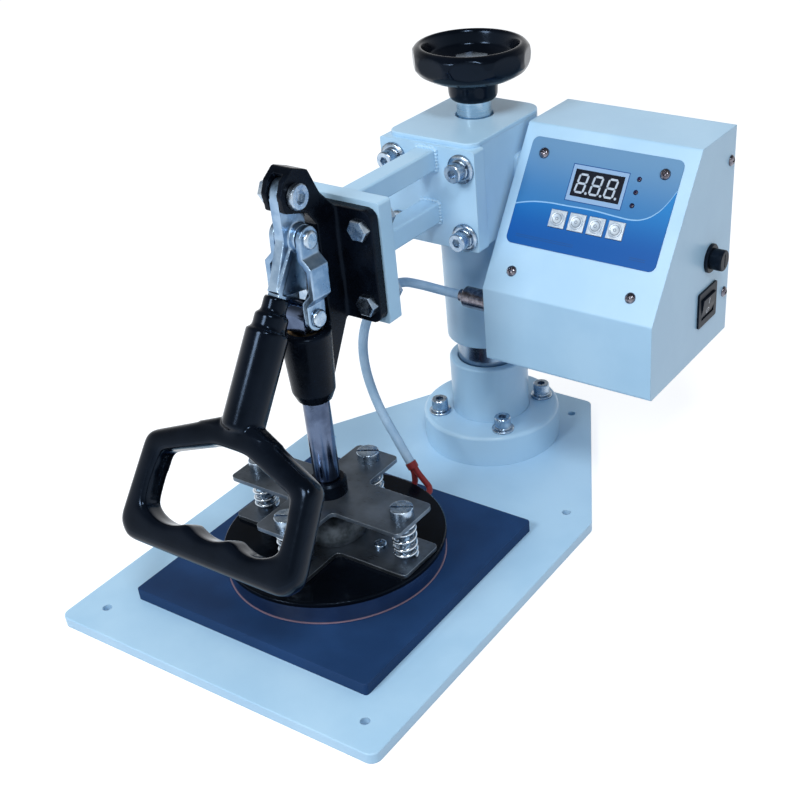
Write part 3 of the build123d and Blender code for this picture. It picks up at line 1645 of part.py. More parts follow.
plug_face = box_left - nut_proud
with BuildPart() as cable_plug:
    with BuildSketch(side_plane(plug_face)):
        with Locations((plug_y, plug_z)):
            Circle(plug_r)
    extrude(amount=-plug_length)
    chamfer(cable_plug.edges().group_by(Axis.X)[0], plug_edge)
    with BuildSketch(side_plane(plug_face)):
        with Locations((plug_y, plug_z)):
            Circle(socket_r + run_gap)
    extrude(amount=-socket_reach - run_gap, mode=Mode.SUBTRACT)
    with BuildSketch(side_plane(plug_face - plug_length)):
        with Locations((plug_y, plug_z)):
            Circle(nozzle_r)
    extrude(amount=-nozzle_length)
save(cable_plug.part, "cable_plug")

# Heater cable from the plug over and down to the platen
cable_start = (plug_face - plug_length - nozzle_length, plug_y, plug_z)
cable_points = [
    cable_start,
    (-3, plug_y, plug_z),
    (-17, -58, 161),
    (-23, -75, 170),
    (-25, -98, 169),
    (-30, -114, 148),
    (-31, -117, 120),
    (-21, -119, 90),
    (-5, -120.5, 66),
    (7, -122, 49),
]


def bend_radii(points, share=0.45):
    # Largest radius that keeps a tangent arc inside the shorter of its two runs
    radii = []
    for before, here, after in zip(points, points[1:], points[2:]):
        first = Vector(*here) - Vector(*before)
        second = Vector(*after) - Vector(*here)
        turn = radians(first.get_angle(second))
        radii.append(share * min(first.length, second.length) / tan(turn / 2))
    return radii


cable_radii = bend_radii(cable_points)
print("cable radii", [round(r, 1) for r in cable_radii])
with BuildPart() as heater_cable:
    with BuildLine() as cable_route:
        FilletPolyline(*cable_points, radius=cable_radii)
    with BuildSketch(Plane(origin=cable_route.line @ 0, z_dir=cable_route.line % 0)):
        Circle(cord_r)
    sweep()
cable_length = sum(edge.length for edge in cable_route.edges())
print("cable length", round(cable_length, 1), "volume", round(heater_cable.part.volume))
print("section x length", round(pi * cord_r**2 * cable_length))
save(heater_cable.part, "heater_cable")

# Fibreglass sleeving: a short boot and one sleeve to each tail of the element
boot_r = 4.2
boot_length = 5.0
sleeve_r = 2.3
sleeve_split = 1.7
sleeve_clear = 5.5
sleeve_drop_y = press_y + cover_r + sleeve_clear
sleeve_end_y = press_y + plate_r - 4
sleeve_drop = 0.6
cable_end = Vector(*cable_points[-1])
last_run = (cable_end - Vector(*cable_points[-2])).normalized()
with BuildPart() as cable_sleeving:
    with BuildSketch(Plane(origin=cable_end, z_dir=last_run)):
        Circle(boot_r)
    extrude(amount=boot_length)
    for side, x in zip((-sleeve_split, sleeve_split), tail_x):
        start = cable_end + last_run * 1.5 + Vector(side, 0, 0)
        bend = start + last_run * (boot_length + 2)
        sleeve_points = [
            (start.X, start.Y, start.Z),
            (bend.X, bend.Y, bend.Z),
            (x, sleeve_drop_y, element_z - sleeve_drop),
            (x, sleeve_end_y, element_z - sleeve_drop),
        ]
        with BuildLine() as sleeve_route:
            FilletPolyline(*sleeve_points, radius=bend_radii(sleeve_points))
        with BuildSketch(Plane(origin=sleeve_route.line @ 0, z_dir=sleeve_route.line % 0)):
            Circle(sleeve_r)
        sweep(path=sleeve_route.line)
save(cable_sleeving.part, "cable_sleeving")
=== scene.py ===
import bmesh
import bpy
import math
from mathutils import Matrix, Vector


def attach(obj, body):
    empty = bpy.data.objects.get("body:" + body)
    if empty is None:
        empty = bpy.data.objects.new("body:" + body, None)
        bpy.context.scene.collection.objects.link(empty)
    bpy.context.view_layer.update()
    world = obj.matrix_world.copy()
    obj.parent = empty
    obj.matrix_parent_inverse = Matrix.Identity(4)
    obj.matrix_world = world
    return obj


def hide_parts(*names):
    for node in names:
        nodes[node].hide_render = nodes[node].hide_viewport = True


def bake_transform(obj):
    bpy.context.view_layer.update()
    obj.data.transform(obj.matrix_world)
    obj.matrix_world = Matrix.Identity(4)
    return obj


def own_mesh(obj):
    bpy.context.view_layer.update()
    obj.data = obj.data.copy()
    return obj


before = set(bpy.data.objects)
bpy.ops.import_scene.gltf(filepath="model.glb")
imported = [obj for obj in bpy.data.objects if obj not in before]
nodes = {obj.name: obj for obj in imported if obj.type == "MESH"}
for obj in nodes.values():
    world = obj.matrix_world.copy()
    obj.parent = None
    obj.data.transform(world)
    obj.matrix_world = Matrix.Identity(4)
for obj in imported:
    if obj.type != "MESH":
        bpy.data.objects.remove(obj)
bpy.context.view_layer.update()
print("frame loaded:", len(nodes), "nodes")

mm = 0.001
fullTurn = 2 * math.pi
mathNode, vectorMath = "ShaderNodeMath", "ShaderNodeVectorMath"
scene = bpy.context.scene


def hexColor(code):
    channels = [int(code[i:i + 2], 16) / 255 for i in (1, 3, 5)]
    linear = [c / 12.92 if c <= 0.04045 else ((c + 0.055) / 1.055) ** 2.4 for c in channels]
    return (*linear, 1.0)


def addNode(tree, kind, inputs=None, **settings):
    # inputs come by name or number, or as a tuple in their order; a socket, or a node's first
    # output, is linked to its input, a hex colour is turned to linear, and anything else is a value
    node = tree.nodes.new(kind)
    for key, value in settings.items():
        setattr(node, key, value)
    pairs = enumerate(inputs) if isinstance(inputs, tuple) else (inputs or {}).items()
    for key, value in pairs:
        if isinstance(value, bpy.types.Node):
            value = value.outputs[0]
        if isinstance(value, bpy.types.NodeSocket):
            tree.links.new(value, node.inputs[key])
        else:
            node.inputs[key].default_value = hexColor(value) if isinstance(value, str) else value
    return node


def bareTree(owner):
    owner.use_nodes = True
    owner.node_tree.nodes.clear()
    return owner.node_tree


def axesMatrix(place, axes, size=mm):
    # from mm along three axes to the scene's metres, at a place in mm; a camera keeps size 1
    turned = Matrix(axes).transposed().to_4x4()
    return Matrix.Translation(Vector(place) * mm) @ turned @ Matrix.Scale(size, 4)


# Camera of the photograph, in mm, degrees and pixels of its 800 x 800 frame
camera = {
    "place": (501.70, -737.51, 562.85), "azimuth": 32.52, "elevation": 34.83, "roll": -2.38,
    "focal": 1260.27, "centre": (527.59, 492.84), "frame": 800.0, "sensor": 36.0,
}


def makeCamera(look):
    azimuth, elevation, roll = (math.radians(look[k]) for k in ("azimuth", "elevation", "roll"))
    back = Vector((math.sin(azimuth) * math.cos(elevation),
                   -math.cos(azimuth) * math.cos(elevation), math.sin(elevation)))
    level = Vector((math.cos(azimuth), math.sin(azimuth), 0))
    upright = back.cross(level)
    right = math.cos(roll) * level + math.sin(roll) * upright
    up = -math.sin(roll) * level + math.cos(roll) * upright
    data = bpy.data.cameras.new("photoCamera")
    data.sensor_width = look["sensor"]
    data.lens = look["focal"] * look["sensor"] / look["frame"]
    data.shift_x = (look["frame"] / 2 - look["centre"][0]) / look["frame"]
    data.shift_y = (look["centre"][1] - look["frame"] / 2) / look["frame"]
    data.clip_start = 0.05
    data.clip_end = 50.0
    eye = bpy.data.objects.new("photoCamera", data)
    scene.collection.objects.link(eye)
    eye.matrix_world = axesMatrix(look["place"], (right, up, back), 1)
    scene.camera = eye


makeCamera(camera)
print("camera made")


def newPiece(name, mesh, material=None):
    piece = bpy.data.objects.new(name, mesh)
    scene.collection.objects.link(piece)
    if material is not None:
        mesh.materials.clear()
        mesh.materials.append(material)
    return piece


def addPiece(name, mesh, material, body, node=None):
    # a finished piece that rides on a body, in place of a solid where one is named
    piece = newPiece(name, mesh, material)
    if node is not None:
        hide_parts(node)
    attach(piece, body)
    return piece


def evaluatedMesh(piece):
    bpy.context.view_layer.update()
    graph = bpy.context.evaluated_depsgraph_get()
    return bpy.data.meshes.new_from_object(piece.evaluated_get(graph), depsgraph=graph)


def takeMesh(work, name, matrix=Matrix.Identity(4)):
    mesh = bpy.data.meshes.new(name)
    work.to_mesh(mesh)
    work.free()
    mesh.transform(matrix)
    return mesh


# Every material is a shader with fixed socket values, under a broad cloud and a fine grain
def addMaterial(name, sockets, look, paint=None):
    # cloud and grain are in mm, stretch draws the grain out along an axis, centre makes it rings,
    # on lists the solids that get it, and paint gives the finish a colour and a relief of its own
    material = bpy.data.materials.new(name)
    tree = bareTree(material)
    shader = addNode(tree, "ShaderNodeBsdfPrincipled", sockets)
    addNode(tree, "ShaderNodeOutputMaterial", {"Surface": shader})
    coords = addNode(tree, "ShaderNodeTexCoord").outputs["Object"]
    cloud = addNode(tree, "ShaderNodeTexNoise", {
        "Vector": coords, "Scale": 1 / (look["cloud"] * mm), "Detail": 4.0, "Roughness": 0.55})
    if "centre" in look:
        offset = addNode(tree, vectorMath, (coords, Vector(look["centre"]) * mm), operation="SUBTRACT")
        parts = addNode(tree, "ShaderNodeSeparateXYZ", (offset,)).outputs
        flat = addNode(tree, "ShaderNodeCombineXYZ", (parts["X"], parts["Y"]))
        radius = addNode(tree, vectorMath, (flat,), operation="LENGTH").outputs["Value"]
        pattern = addNode(tree, "ShaderNodeCombineXYZ", {"X": radius, "Z": parts["Z"]})
    else:
        pattern = addNode(tree, "ShaderNodeMapping", {
            "Vector": coords, "Scale": look.get("stretch", (1, 1, 1))})
    grain = addNode(tree, "ShaderNodeTexNoise", {
        "Vector": pattern, "Scale": 1 / (look["grain"] * mm), "Detail": 2.0, "Roughness": 0.5})
    if paint is None:
        # the cloud blends the two colours, and the grain is the relief
        share = addNode(tree, "ShaderNodeMapRange", {
            "Value": cloud, "From Min": 0.35, "From Max": 0.65}, interpolation_type="SMOOTHSTEP")
        blend = addNode(tree, "ShaderNodeMix", {
            0: share, 6: look["colors"][0], 7: look["colors"][1]}, data_type="RGBA")
        color, height = blend.outputs[2], grain
    else:
        color, height = paint(tree, look, coords, cloud, grain)
    tree.links.new(color, shader.inputs["Base Color"])
    mixed = addNode(tree, mathNode, (cloud, height), operation="ADD")
    rough = addNode(tree, "ShaderNodeMapRange", {
        "Value": mixed, "From Min": 0.7, "From Max": 1.3, "To Min": look["rough"][0],
        "To Max": look["rough"][1]})
    tree.links.new(rough.outputs[0], shader.inputs["Roughness"])
    relief = {"Height": height, "Distance": look["depth"] * mm, "Strength": 0.6}
    if "edge" in look:
        # the relief lies on edges softened by this radius in mm
        relief["Normal"] = addNode(tree, "ShaderNodeBevel", {"Radius": look["edge"] * mm}, samples=4)
    bump = addNode(tree, "ShaderNodeBump", relief)
    tree.links.new(bump.outputs[0], shader.inputs["Normal"])
    for solid in look.get("on", ()):
        nodes[solid].data.materials.clear()
        nodes[solid].data.materials.append(material)
    return material


pressAxis = (0, -205, 0)
# blue tint of what the blacks mirror
coldSheen = "#A9C8F0"

# Polyester powder coat, baked: satin gloss over a fine orange peel, with rolled edges
powderCoat = addMaterial("bakedPowderCoat", {
    "IOR": 1.5, "Coat Weight": 0.15, "Coat Roughness": 0.2}, {
    "colors": ("#A3CBE9", "#ACD2EE"), "cloud": 70, "grain": 1.3, "depth": 0.035,
    "rough": (0.3, 0.42), "edge": 0.8,
    "on": ["base_plate", "column_flange", "column_collar", "swing_sleeve", "head_block", "head_cap",
        "arm_frame", "box_bracket", "box_shell", "box_back_panel"]})

# Moulded silicone sheet: matt and dark, faintly dusty
addMaterial("mouldedSilicone", {"IOR": 1.41, "Specular IOR Level": 0.2}, {
    "colors": ("#18365F", "#1C3C68"), "cloud": 40, "grain": 0.9, "depth": 0.04,
    "rough": (0.5, 0.66), "edge": 0.8, "on": ["silicone_pad"]})

# Blue-passivated zinc on turned screws: bright with a cold cast and a soft bloom
zincPlate = addMaterial("passivatedZinc", {"Metallic": 1.0}, {
    "colors": ("#8FA5BC", "#B7C7D6"), "cloud": 5, "grain": 0.5, "depth": 0.015,
    "rough": (0.2, 0.34), "edge": 0.35,
    "on": ["flange_washers", "flange_screws", "arm_washers", "arm_screws", "clamp_bolts", "link_rivets",
        "plunger_pin", "platen_screws", "box_screws", "lever_pin", "lever_pivot_bolt", "shoulder_screws"]})

# Zinc on a forging: the same cast, duller, over the forging's own gentle dents
zincForging = addMaterial("zincOnForging", {"Metallic": 1.0}, {
    "colors": ("#7C98B5", "#9DB6CE"), "cloud": 12, "grain": 1.8, "depth": 0.03,
    "rough": (0.26, 0.38), "on": ["handle_lever", "toggle_links"]})

# Ground steel of the post: rings too fine to show, drawn at 0.8 mm
addMaterial("groundSteel", {"Metallic": 1.0}, {
    "colors": ("#76889B", "#93A5B6"), "cloud": 30, "grain": 0.8, "depth": 0.01,
    "rough": (0.16, 0.28), "centre": (0, 0, 0), "edge": 0.3, "on": ["column_post", "adjusting_screw"]})

# Drawn bright rod under the clamp: polished by its bush, with sharp long reflections; its dark colours are
# painted shade, standing in for the dark surroundings it mirrors
addMaterial("polishedRod", {"Metallic": 1.0}, {
    "colors": ("#3F4A60", "#5F6D86"), "cloud": 20, "grain": 0.7, "depth": 0.006,
    "rough": (0.1, 0.18), "centre": pressAxis, "edge": 0.3, "on": ["plunger_rod"]})

# Turned and zinc-plated sleeve below the wheel: pale, with lathe rings
addMaterial("turnedZincSleeve", {"Metallic": 1.0}, {
    "colors": ("#A9C4D8", "#C6DCEA"), "cloud": 25, "grain": 0.6, "depth": 0.02,
    "rough": (0.22, 0.34), "centre": (0, 0, 0), "edge": 0.3, "on": ["wheel_sleeve"]})

# Nickel-plated spring wire: bright, drawn, almost mirror
springWire = addMaterial("nickeledSpringWire", {"Metallic": 1.0}, {
    "colors": ("#B9C8D6", "#D6E0E9"), "cloud": 4, "grain": 0.4, "depth": 0.006,
    "rough": (0.1, 0.2), "on": ["pressure_springs"]})

# Turned aluminium of the heating plate: smooth enough to mirror the pad, with rings at 0.8 mm
addMaterial("turnedAluminium", {"Metallic": 1.0}, {
    "colors": ("#8E9DB0", "#AAB7C6"), "cloud": 30, "grain": 0.8, "depth": 0.01,
    "rough": (0.12, 0.2), "centre": pressAxis, "edge": 0.4, "on": ["heating_plate"]})

# Sand-cast aluminium of the bell, left rough and coloured dark grey
castBell = addMaterial("sandCastAluminium", {"Metallic": 0.7}, {
    "colors": ("#363F46", "#56606A"), "cloud": 6, "grain": 1.3, "depth": 0.12,
    "rough": (0.4, 0.58), "on": ["pressure_dome"]})

# Black enamel on an iron casting: deep gloss that follows the sand texture
enamelledIron = addMaterial("enamelledIron", {
    "IOR": 1.45, "Specular IOR Level": 0.14, "Specular Tint": coldSheen}, {
    "colors": ("#05080F", "#090F19"), "cloud": 14, "grain": 2.2, "depth": 0.08,
    "rough": (0.2, 0.34), "on": ["clamp_body", "rod_hub"]})

# Phenolic moulding, tumbled: near black with a cold blue gloss
tumbledPhenolic = addMaterial("tumbledPhenolic", {
    "IOR": 1.45, "Specular IOR Level": 0.27, "Specular Tint": coldSheen}, {
    "colors": ("#03060D", "#070C15"), "cloud": 25, "grain": 2.5, "depth": 0.03,
    "rough": (0.13, 0.2), "on": ["handwheel", "handle_grip"]})

# Black nylon moulding of switch, inlet and fuse: fine spark texture, softly shining
addMaterial("mouldedNylon", {
    "IOR": 1.5, "Specular IOR Level": 0.15, "Specular Tint": coldSheen}, {
    "colors": ("#0A1018", "#111925"), "cloud": 12, "grain": 0.45, "depth": 0.02,
    "rough": (0.3, 0.42), "edge": 0.4,
    "on": ["switch_housing", "fuse_holder", "fuse_cap", "power_inlet", "rocker"]})

# Stove enamel of the round cover: wet-looking black with a slight wave
addMaterial("stoveEnamel", {
    "IOR": 1.5, "Specular IOR Level": 0.12, "Specular Tint": coldSheen}, {
    "colors": ("#04070C", "#080D15"), "cloud": 40, "grain": 9.0, "depth": 0.05,
    "rough": (0.1, 0.18), "edge": 0.6, "on": ["platen_cover"]})

# Nickel plate on the round connector and the dome screws: dark, warm and mirror-like
nickelPlate = addMaterial("nickelPlatedBrass", {"Metallic": 1.0}, {
    "colors": ("#5E5C66", "#8D8B94"), "cloud": 3, "grain": 0.4, "depth": 0.008,
    "rough": (0.14, 0.26), "edge": 0.3, "on": ["cable_socket", "cable_plug"]})

# Bored bronze of the bush
addMaterial("boredBronze", {"Metallic": 1.0}, {
    "colors": ("#8A6A3E", "#B08A54"), "cloud": 8, "grain": 0.6, "depth": 0.01,
    "rough": (0.24, 0.38), "centre": pressAxis, "on": ["plunger_bush"]})

# Heat-proof silicone jacket of the cable: satin, pale grey-blue, marked by handling
siliconeJacket = addMaterial("extrudedSilicone", {"IOR": 1.42}, {
    "colors": ("#8FB2D2", "#9DBDDA"), "cloud": 11, "grain": 1.2, "depth": 0.03,
    "rough": (0.34, 0.5), "on": ["heater_cable"]})

# Oxidised stainless tube of the element
addMaterial("oxidisedTube", {"Metallic": 1.0}, {
    "colors": ("#4A423C", "#7C7064"), "cloud": 8, "grain": 0.8, "depth": 0.02,
    "rough": (0.4, 0.6), "on": ["heating_element"]})

# Dark acrylic filter of the display: black until light falls straight on it
addMaterial("tintedAcrylic", {"IOR": 1.25}, {
    "colors": ("#0A101D", "#0D1524"), "cloud": 12, "grain": 2.0, "depth": 0.004,
    "rough": (0.28, 0.36), "edge": 0.25, "on": ["display_module"]})

# Diffuser resin of the unlit segments: milky, pale grey-blue
milkyResin = addMaterial("milkyResin", {"IOR": 1.5}, {
    "colors": ("#9FB0C4", "#B0BFD0"), "cloud": 3, "grain": 0.6, "depth": 0.006,
    "rough": (0.36, 0.46)})

# Tinted epoxy of the unlit lamps
addMaterial("tintedEpoxy", {"IOR": 1.5}, {
    "colors": ("#0E0B22", "#201540"), "cloud": 1.5, "grain": 0.6, "depth": 0.004,
    "rough": (0.12, 0.2), "on": ["indicator_leds"]})

# Metallised styrene of the four keys: silvery, slightly dull
metallisedStyrene = addMaterial("metallisedStyrene", {"Metallic": 0.3, "IOR": 1.5}, {
    "colors": ("#A9BACB", "#C3D0DC"), "cloud": 4, "grain": 0.5, "depth": 0.012,
    "rough": (0.28, 0.4), "edge": 0.4, "on": ["button_1", "button_2", "button_3", "button_4"]})

# Pad print: white for the rocker's marks, dark for the keys' rings
padPrint, keyInk = (addMaterial(name, {"IOR": 1.5}, {
    "colors": colors, "cloud": 2, "grain": 0.5, "depth": 0.006, "rough": (0.4, 0.5)})
    for name, colors in (("whitePadPrint", ("#C9D4DF", "#DCE4EC")),
                         ("darkPadPrint", ("#3E5066", "#4C5F77"))))

# Drawn glass of the fuse
addMaterial("drawnGlass", {"IOR": 1.5, "Transmission Weight": 0.9}, {
    "colors": ("#DCE9EA", "#C9DADC"), "cloud": 4, "grain": 1.0, "depth": 0.002,
    "rough": (0.03, 0.08), "on": ["fuse_cartridge"]})


# Oiled hot-rolled plate: dark scale, finely scratched, with a bright line painted along every edge: bare
# metal at the cut, and a painted highlight
def paintRolledPlate(tree, look, coords, cloud, grain):
    soft = addNode(tree, "ShaderNodeBevel", {"Radius": look["edge"] * mm}, samples=4)
    true = addNode(tree, "ShaderNodeNewGeometry").outputs["Normal"]
    turn = addNode(tree, vectorMath, (soft, true), operation="DOT_PRODUCT").outputs["Value"]
    share = addNode(tree, "ShaderNodeMapRange", {"Value": cloud, "From Min": 0.35, "From Max": 0.7})
    scale = addNode(tree, "ShaderNodeMix", {
        0: share, 6: look["colors"][0], 7: look["colors"][1]}, data_type="RGBA")
    # where the softened and true normals part, along every edge, the colour turns bright: bare cut metal and
    # painted highlight
    edgeWearAndHighlight = addNode(tree, "ShaderNodeMapRange", {
        "Value": turn, "From Min": 0.9, "From Max": 0.99, "To Min": 1.0, "To Max": 0.0})
    color = addNode(tree, "ShaderNodeMix", {
        0: edgeWearAndHighlight, 6: scale.outputs[2], 7: look["bright"]}, data_type="RGBA")
    return color.outputs[2], grain


addMaterial("oiledRolledPlate", {"Metallic": 0.9}, {
    "colors": ("#59636E", "#788390"), "cloud": 22, "grain": 0.5, "depth": 0.015,
    "rough": (0.26, 0.42), "stretch": (0.04, 1, 1), "edge": 0.5, "bright": "#AEBBC8",
    "on": ["upper_cross", "lower_cross"]}, paintRolledPlate)


# Coated glass cloth under the platen: mauve-brown and waxy, with its plain weave at 0.7 mm
def paintGlassCloth(tree, look, coords, cloud, grain):
    weave = addNode(tree, "ShaderNodeTexBrick", {
        "Vector": coords, "Scale": 1 / (look["thread"] * mm), "Brick Width": 1.0, "Row Height": 1.0,
        "Mortar Size": 0.12, "Color1": look["warp"], "Color2": look["warp"], "Mortar": look["gap"]})
    return weave.outputs["Color"], grain


addMaterial("coatedGlassCloth", {"IOR": 1.38}, {
    "cloud": 20, "grain": 0.7, "depth": 0.02, "rough": (0.34, 0.5), "thread": 0.7,
    "warp": "#8E7A8A", "gap": "#6C5A6C", "on": ["release_sheet"]}, paintGlassCloth)


# Varnished glass braid: red strands crossing at 0.9 mm, matt, with darker gaps
def paintBraid(tree, look, coords, cloud, grain):
    waves = []
    for lean in look["lean"]:
        turn = addNode(tree, "ShaderNodeMapping", {"Vector": coords, "Rotation": (0.4, lean, 0)})
        waves.append(addNode(tree, "ShaderNodeTexWave", {
            "Vector": turn, "Scale": 0.5 / (look["strand"] * mm), "Distortion": 0.6},
            bands_direction="DIAGONAL").outputs["Fac"])
    cross = addNode(tree, mathNode, tuple(waves), operation="MULTIPLY")
    color = addNode(tree, "ShaderNodeMix", {0: cross, 6: look["low"], 7: look["high"]}, data_type="RGBA")
    return color.outputs[2], cross


addMaterial("varnishedGlassBraid", {"IOR": 1.45, "Sheen Weight": 0.2}, {
    "cloud": 5, "grain": 1.2, "depth": 0.06, "rough": (0.55, 0.8), "strand": 0.9,
    "high": "#B3242C", "low": "#5A0C12", "lean": (0.5, -1.1), "on": ["cable_sleeving"]}, paintBraid)


# Etched glass-epoxy board: green mask over square copper fields of 4 mm
def paintBoard(tree, look, coords, cloud, grain):
    fields = addNode(tree, "ShaderNodeTexBrick", {
        "Vector": coords, "Scale": 1 / (look["field"] * mm), "Mortar Size": 0.06, "Color1": look["mask"][0],
        "Color2": look["mask"][1], "Mortar": look["gap"]})
    return fields.outputs["Color"], grain


addMaterial("etchedBoard", {"IOR": 1.55}, {
    "cloud": 10, "grain": 0.6, "depth": 0.01, "rough": (0.3, 0.45), "field": 4.0,
    "mask": ("#123F24", "#1A5230"), "gap": "#0B2A17", "on": ["control_board"]}, paintBoard)

# The control box's sloping front: its lower left corner, its ridge and what is printed on it, in mm
panel = {
    "corner": (39, -60, 171), "ridge": (39, 11, 270),
    "labelX": (7.5, 124.5), "labelS": (36.0, 112.5), "labelRound": 5.0, "labelThick": 0.6,
    "windowX": 66.0, "windowS": 85.5, "windowWidth": 37.5, "windowHeight": 18.5,
    "buttonX": (43.5, 58.6, 73.6, 88.7), "buttonS": 58.4, "buttonSize": 12.4,
    "buttonProud": 1.5, "buttonDisc": 2.0,
}
panelUp = (Vector(panel["ridge"]) - Vector(panel["corner"])).normalized()
panelOut = Vector((1, 0, 0)).cross(panelUp)
# from mm on the front (across, up the slope, outwards) to the scene
panelMatrix = axesMatrix(panel["corner"], ((1, 0, 0), panelUp, panelOut))


# Screen-printed polycarbonate film: satin, grey-blue at the top, strong blue under a pale curve;
# what is printed is in mm across the front and up its slope, and upper and lower are two tones with
# the heights between which one turns into the other
film = {
    "upper": ("#3474AE", "#628DB4", 66, 112), "lower": ("#07539F", "#2178BC", 44, 84),
    "curveColor": "#86B6E0",
    "frameColor": "#86A8CE", "inkColor": "#1B4C88",
    "curve": ((0, 61), (18, 66.5), (31, 68.2), (48, 68.6), (67.5, 68.9), (87, 67.8), (98, 67.6),
              (106.6, 69.6), (114.7, 75.3), (119.7, 82.2), (123.5, 89.8), (130, 104)),
    "span": 130.0, "curveWide": 0.9, "curveBlur": 0.2, "frameCentre": (66.0, 85.3, 0),
    "frameHalf": (21.6, 12.8, 0), "frameLine": 0.6, "ruleMiddles": ((37.5, 23.0), (110.0, 6.0)),
    "ruleLevels": (42.9, 41.5), "ruleLine": 0.45, "cloud": 30, "grain": 0.5, "depth": 0.012,
    "rough": (0.34, 0.44), "edge": 0.3, "on": ["label_panel"],
}


def paintFilm(tree, look, coords, cloud, grain):
    tilt = math.atan2(panelUp.z, panelUp.y)
    flat = addNode(tree, "ShaderNodeMapping", {
        "Vector": coords, "Location": Vector(panel["corner"]) * mm, "Rotation": (tilt, 0, 0),
        "Scale": (mm, mm, mm)}, vector_type="TEXTURE")
    across, upward = addNode(tree, "ShaderNodeSeparateXYZ", (flat,)).outputs[:2]
    unit = addNode(tree, mathNode, (across, look["span"]), operation="DIVIDE")
    line = addNode(tree, "ShaderNodeFloatCurve", {"Value": unit})
    points = line.mapping.curves[0].points
    while len(points) < len(look["curve"]):
        points.new(0.5, 0.5)
    for point, place in zip(points, look["curve"]):
        point.location = [value / look["span"] for value in place]
    line.mapping.update()
    level = addNode(tree, mathNode, (line, look["span"]), operation="MULTIPLY")
    above = addNode(tree, mathNode, (upward, level), operation="SUBTRACT")
    tones = []
    for first, last, low, high in (look["upper"], look["lower"]):
        share = addNode(tree, "ShaderNodeMapRange", {
            "Value": upward, "From Min": low, "From Max": high}, interpolation_type="SMOOTHSTEP")
        tones.append(addNode(tree, "ShaderNodeMix", {
            0: share, 6: first, 7: last}, data_type="RGBA").outputs[2])
    under = addNode(tree, "ShaderNodeMapRange", {
        "Value": above, "From Min": -look["curveBlur"], "From Max": look["curveBlur"], "To Min": 1.0,
        "To Max": 0.0})
    color = addNode(tree, "ShaderNodeMix", {0: under, 6: tones[0], 7: tones[1]}, data_type="RGBA")
    # each mask is 1 where its ink is printed
    near = addNode(tree, mathNode, (above, 0.0, look["curveWide"] / 2), operation="COMPARE")
    offset = addNode(tree, vectorMath, (flat, look["frameCentre"]), operation="SUBTRACT")
    offset = addNode(tree, vectorMath, (offset,), operation="ABSOLUTE")
    offset = addNode(tree, vectorMath, (offset, look["frameHalf"]), operation="SUBTRACT")
    sides = addNode(tree, "ShaderNodeSeparateXYZ", (offset,)).outputs
    outside = addNode(tree, mathNode, (sides["X"], sides["Y"]), operation="MAXIMUM")
    inside = addNode(tree, mathNode, (outside, 0.0), operation="LESS_THAN")
    outline = addNode(tree, mathNode, (outside, 0.0, look["frameLine"] / 2), operation="COMPARE")
    rows = [addNode(tree, mathNode, (upward, height, look["ruleLine"] / 2), operation="COMPARE")
            for height in look["ruleLevels"]]
    spans = [addNode(tree, mathNode, (across, *rule), operation="COMPARE")
             for rule in look["ruleMiddles"]]
    row = addNode(tree, mathNode, tuple(rows), operation="ADD")
    span = addNode(tree, mathNode, tuple(spans), operation="ADD")
    rules = addNode(tree, mathNode, (row, span), operation="MULTIPLY")
    for mask, ink in ((near, "curveColor"), (inside, "frameColor"), (outline, "inkColor"),
                      (rules, "inkColor")):
        color = addNode(tree, "ShaderNodeMix", {0: mask, 6: color.outputs[2], 7: look[ink]}, data_type="RGBA")
    return color.outputs[2], grain


addMaterial("printedPolycarbonate", {"IOR": 1.58, "Specular IOR Level": 0.12}, film, paintFilm)
print("materials made:", len(bpy.data.materials))

# Heater cable, from its plug over and down to the platen's sleeving, in mm
cable = {
    "radius": 3.5, "length": 208.5,
    "route": ((12, -49, 155), (-3, -49, 155), (-17, -58, 161), (-23, -75, 170), (-25, -98, 169),
              (-30, -114, 148), (-31, -117, 120), (-21, -119, 90), (-5, -120.5, 66), (7, -122, 49)),
    "blend": ((-20, -75, 172), (3, -122, 55)),
}


def makeCable(look):
    curve = bpy.data.curves.new("cableRoute", "CURVE")
    curve.dimensions = "3D"
    curve.resolution_u = 12
    spline = curve.splines.new("NURBS")
    spline.points.add(len(look["route"]) - 1)
    for point, place in zip(spline.points, look["route"]):
        point.co = (*(Vector(place) * mm), 1.0)
    spline.order_u = 3
    spline.use_endpoint_u = True
    source = newPiece("cableRoute", curve)
    path = [vertex.co.copy() for vertex in evaluatedMesh(source).vertices]
    curve.bevel_depth = look["radius"] * mm
    curve.bevel_resolution = 6
    curve.use_fill_caps = True
    tube = evaluatedMesh(source)
    bpy.data.objects.remove(source)
    tube.polygons.foreach_set("use_smooth", [True] * len(tube.polygons))
    piece = newPiece("cableTube", tube, siliconeJacket)
    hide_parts("heater_cable")
    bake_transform(piece)
    return piece


cableTube = makeCable(cable)
print("cable made:", len(cableTube.data.polygons), "faces")


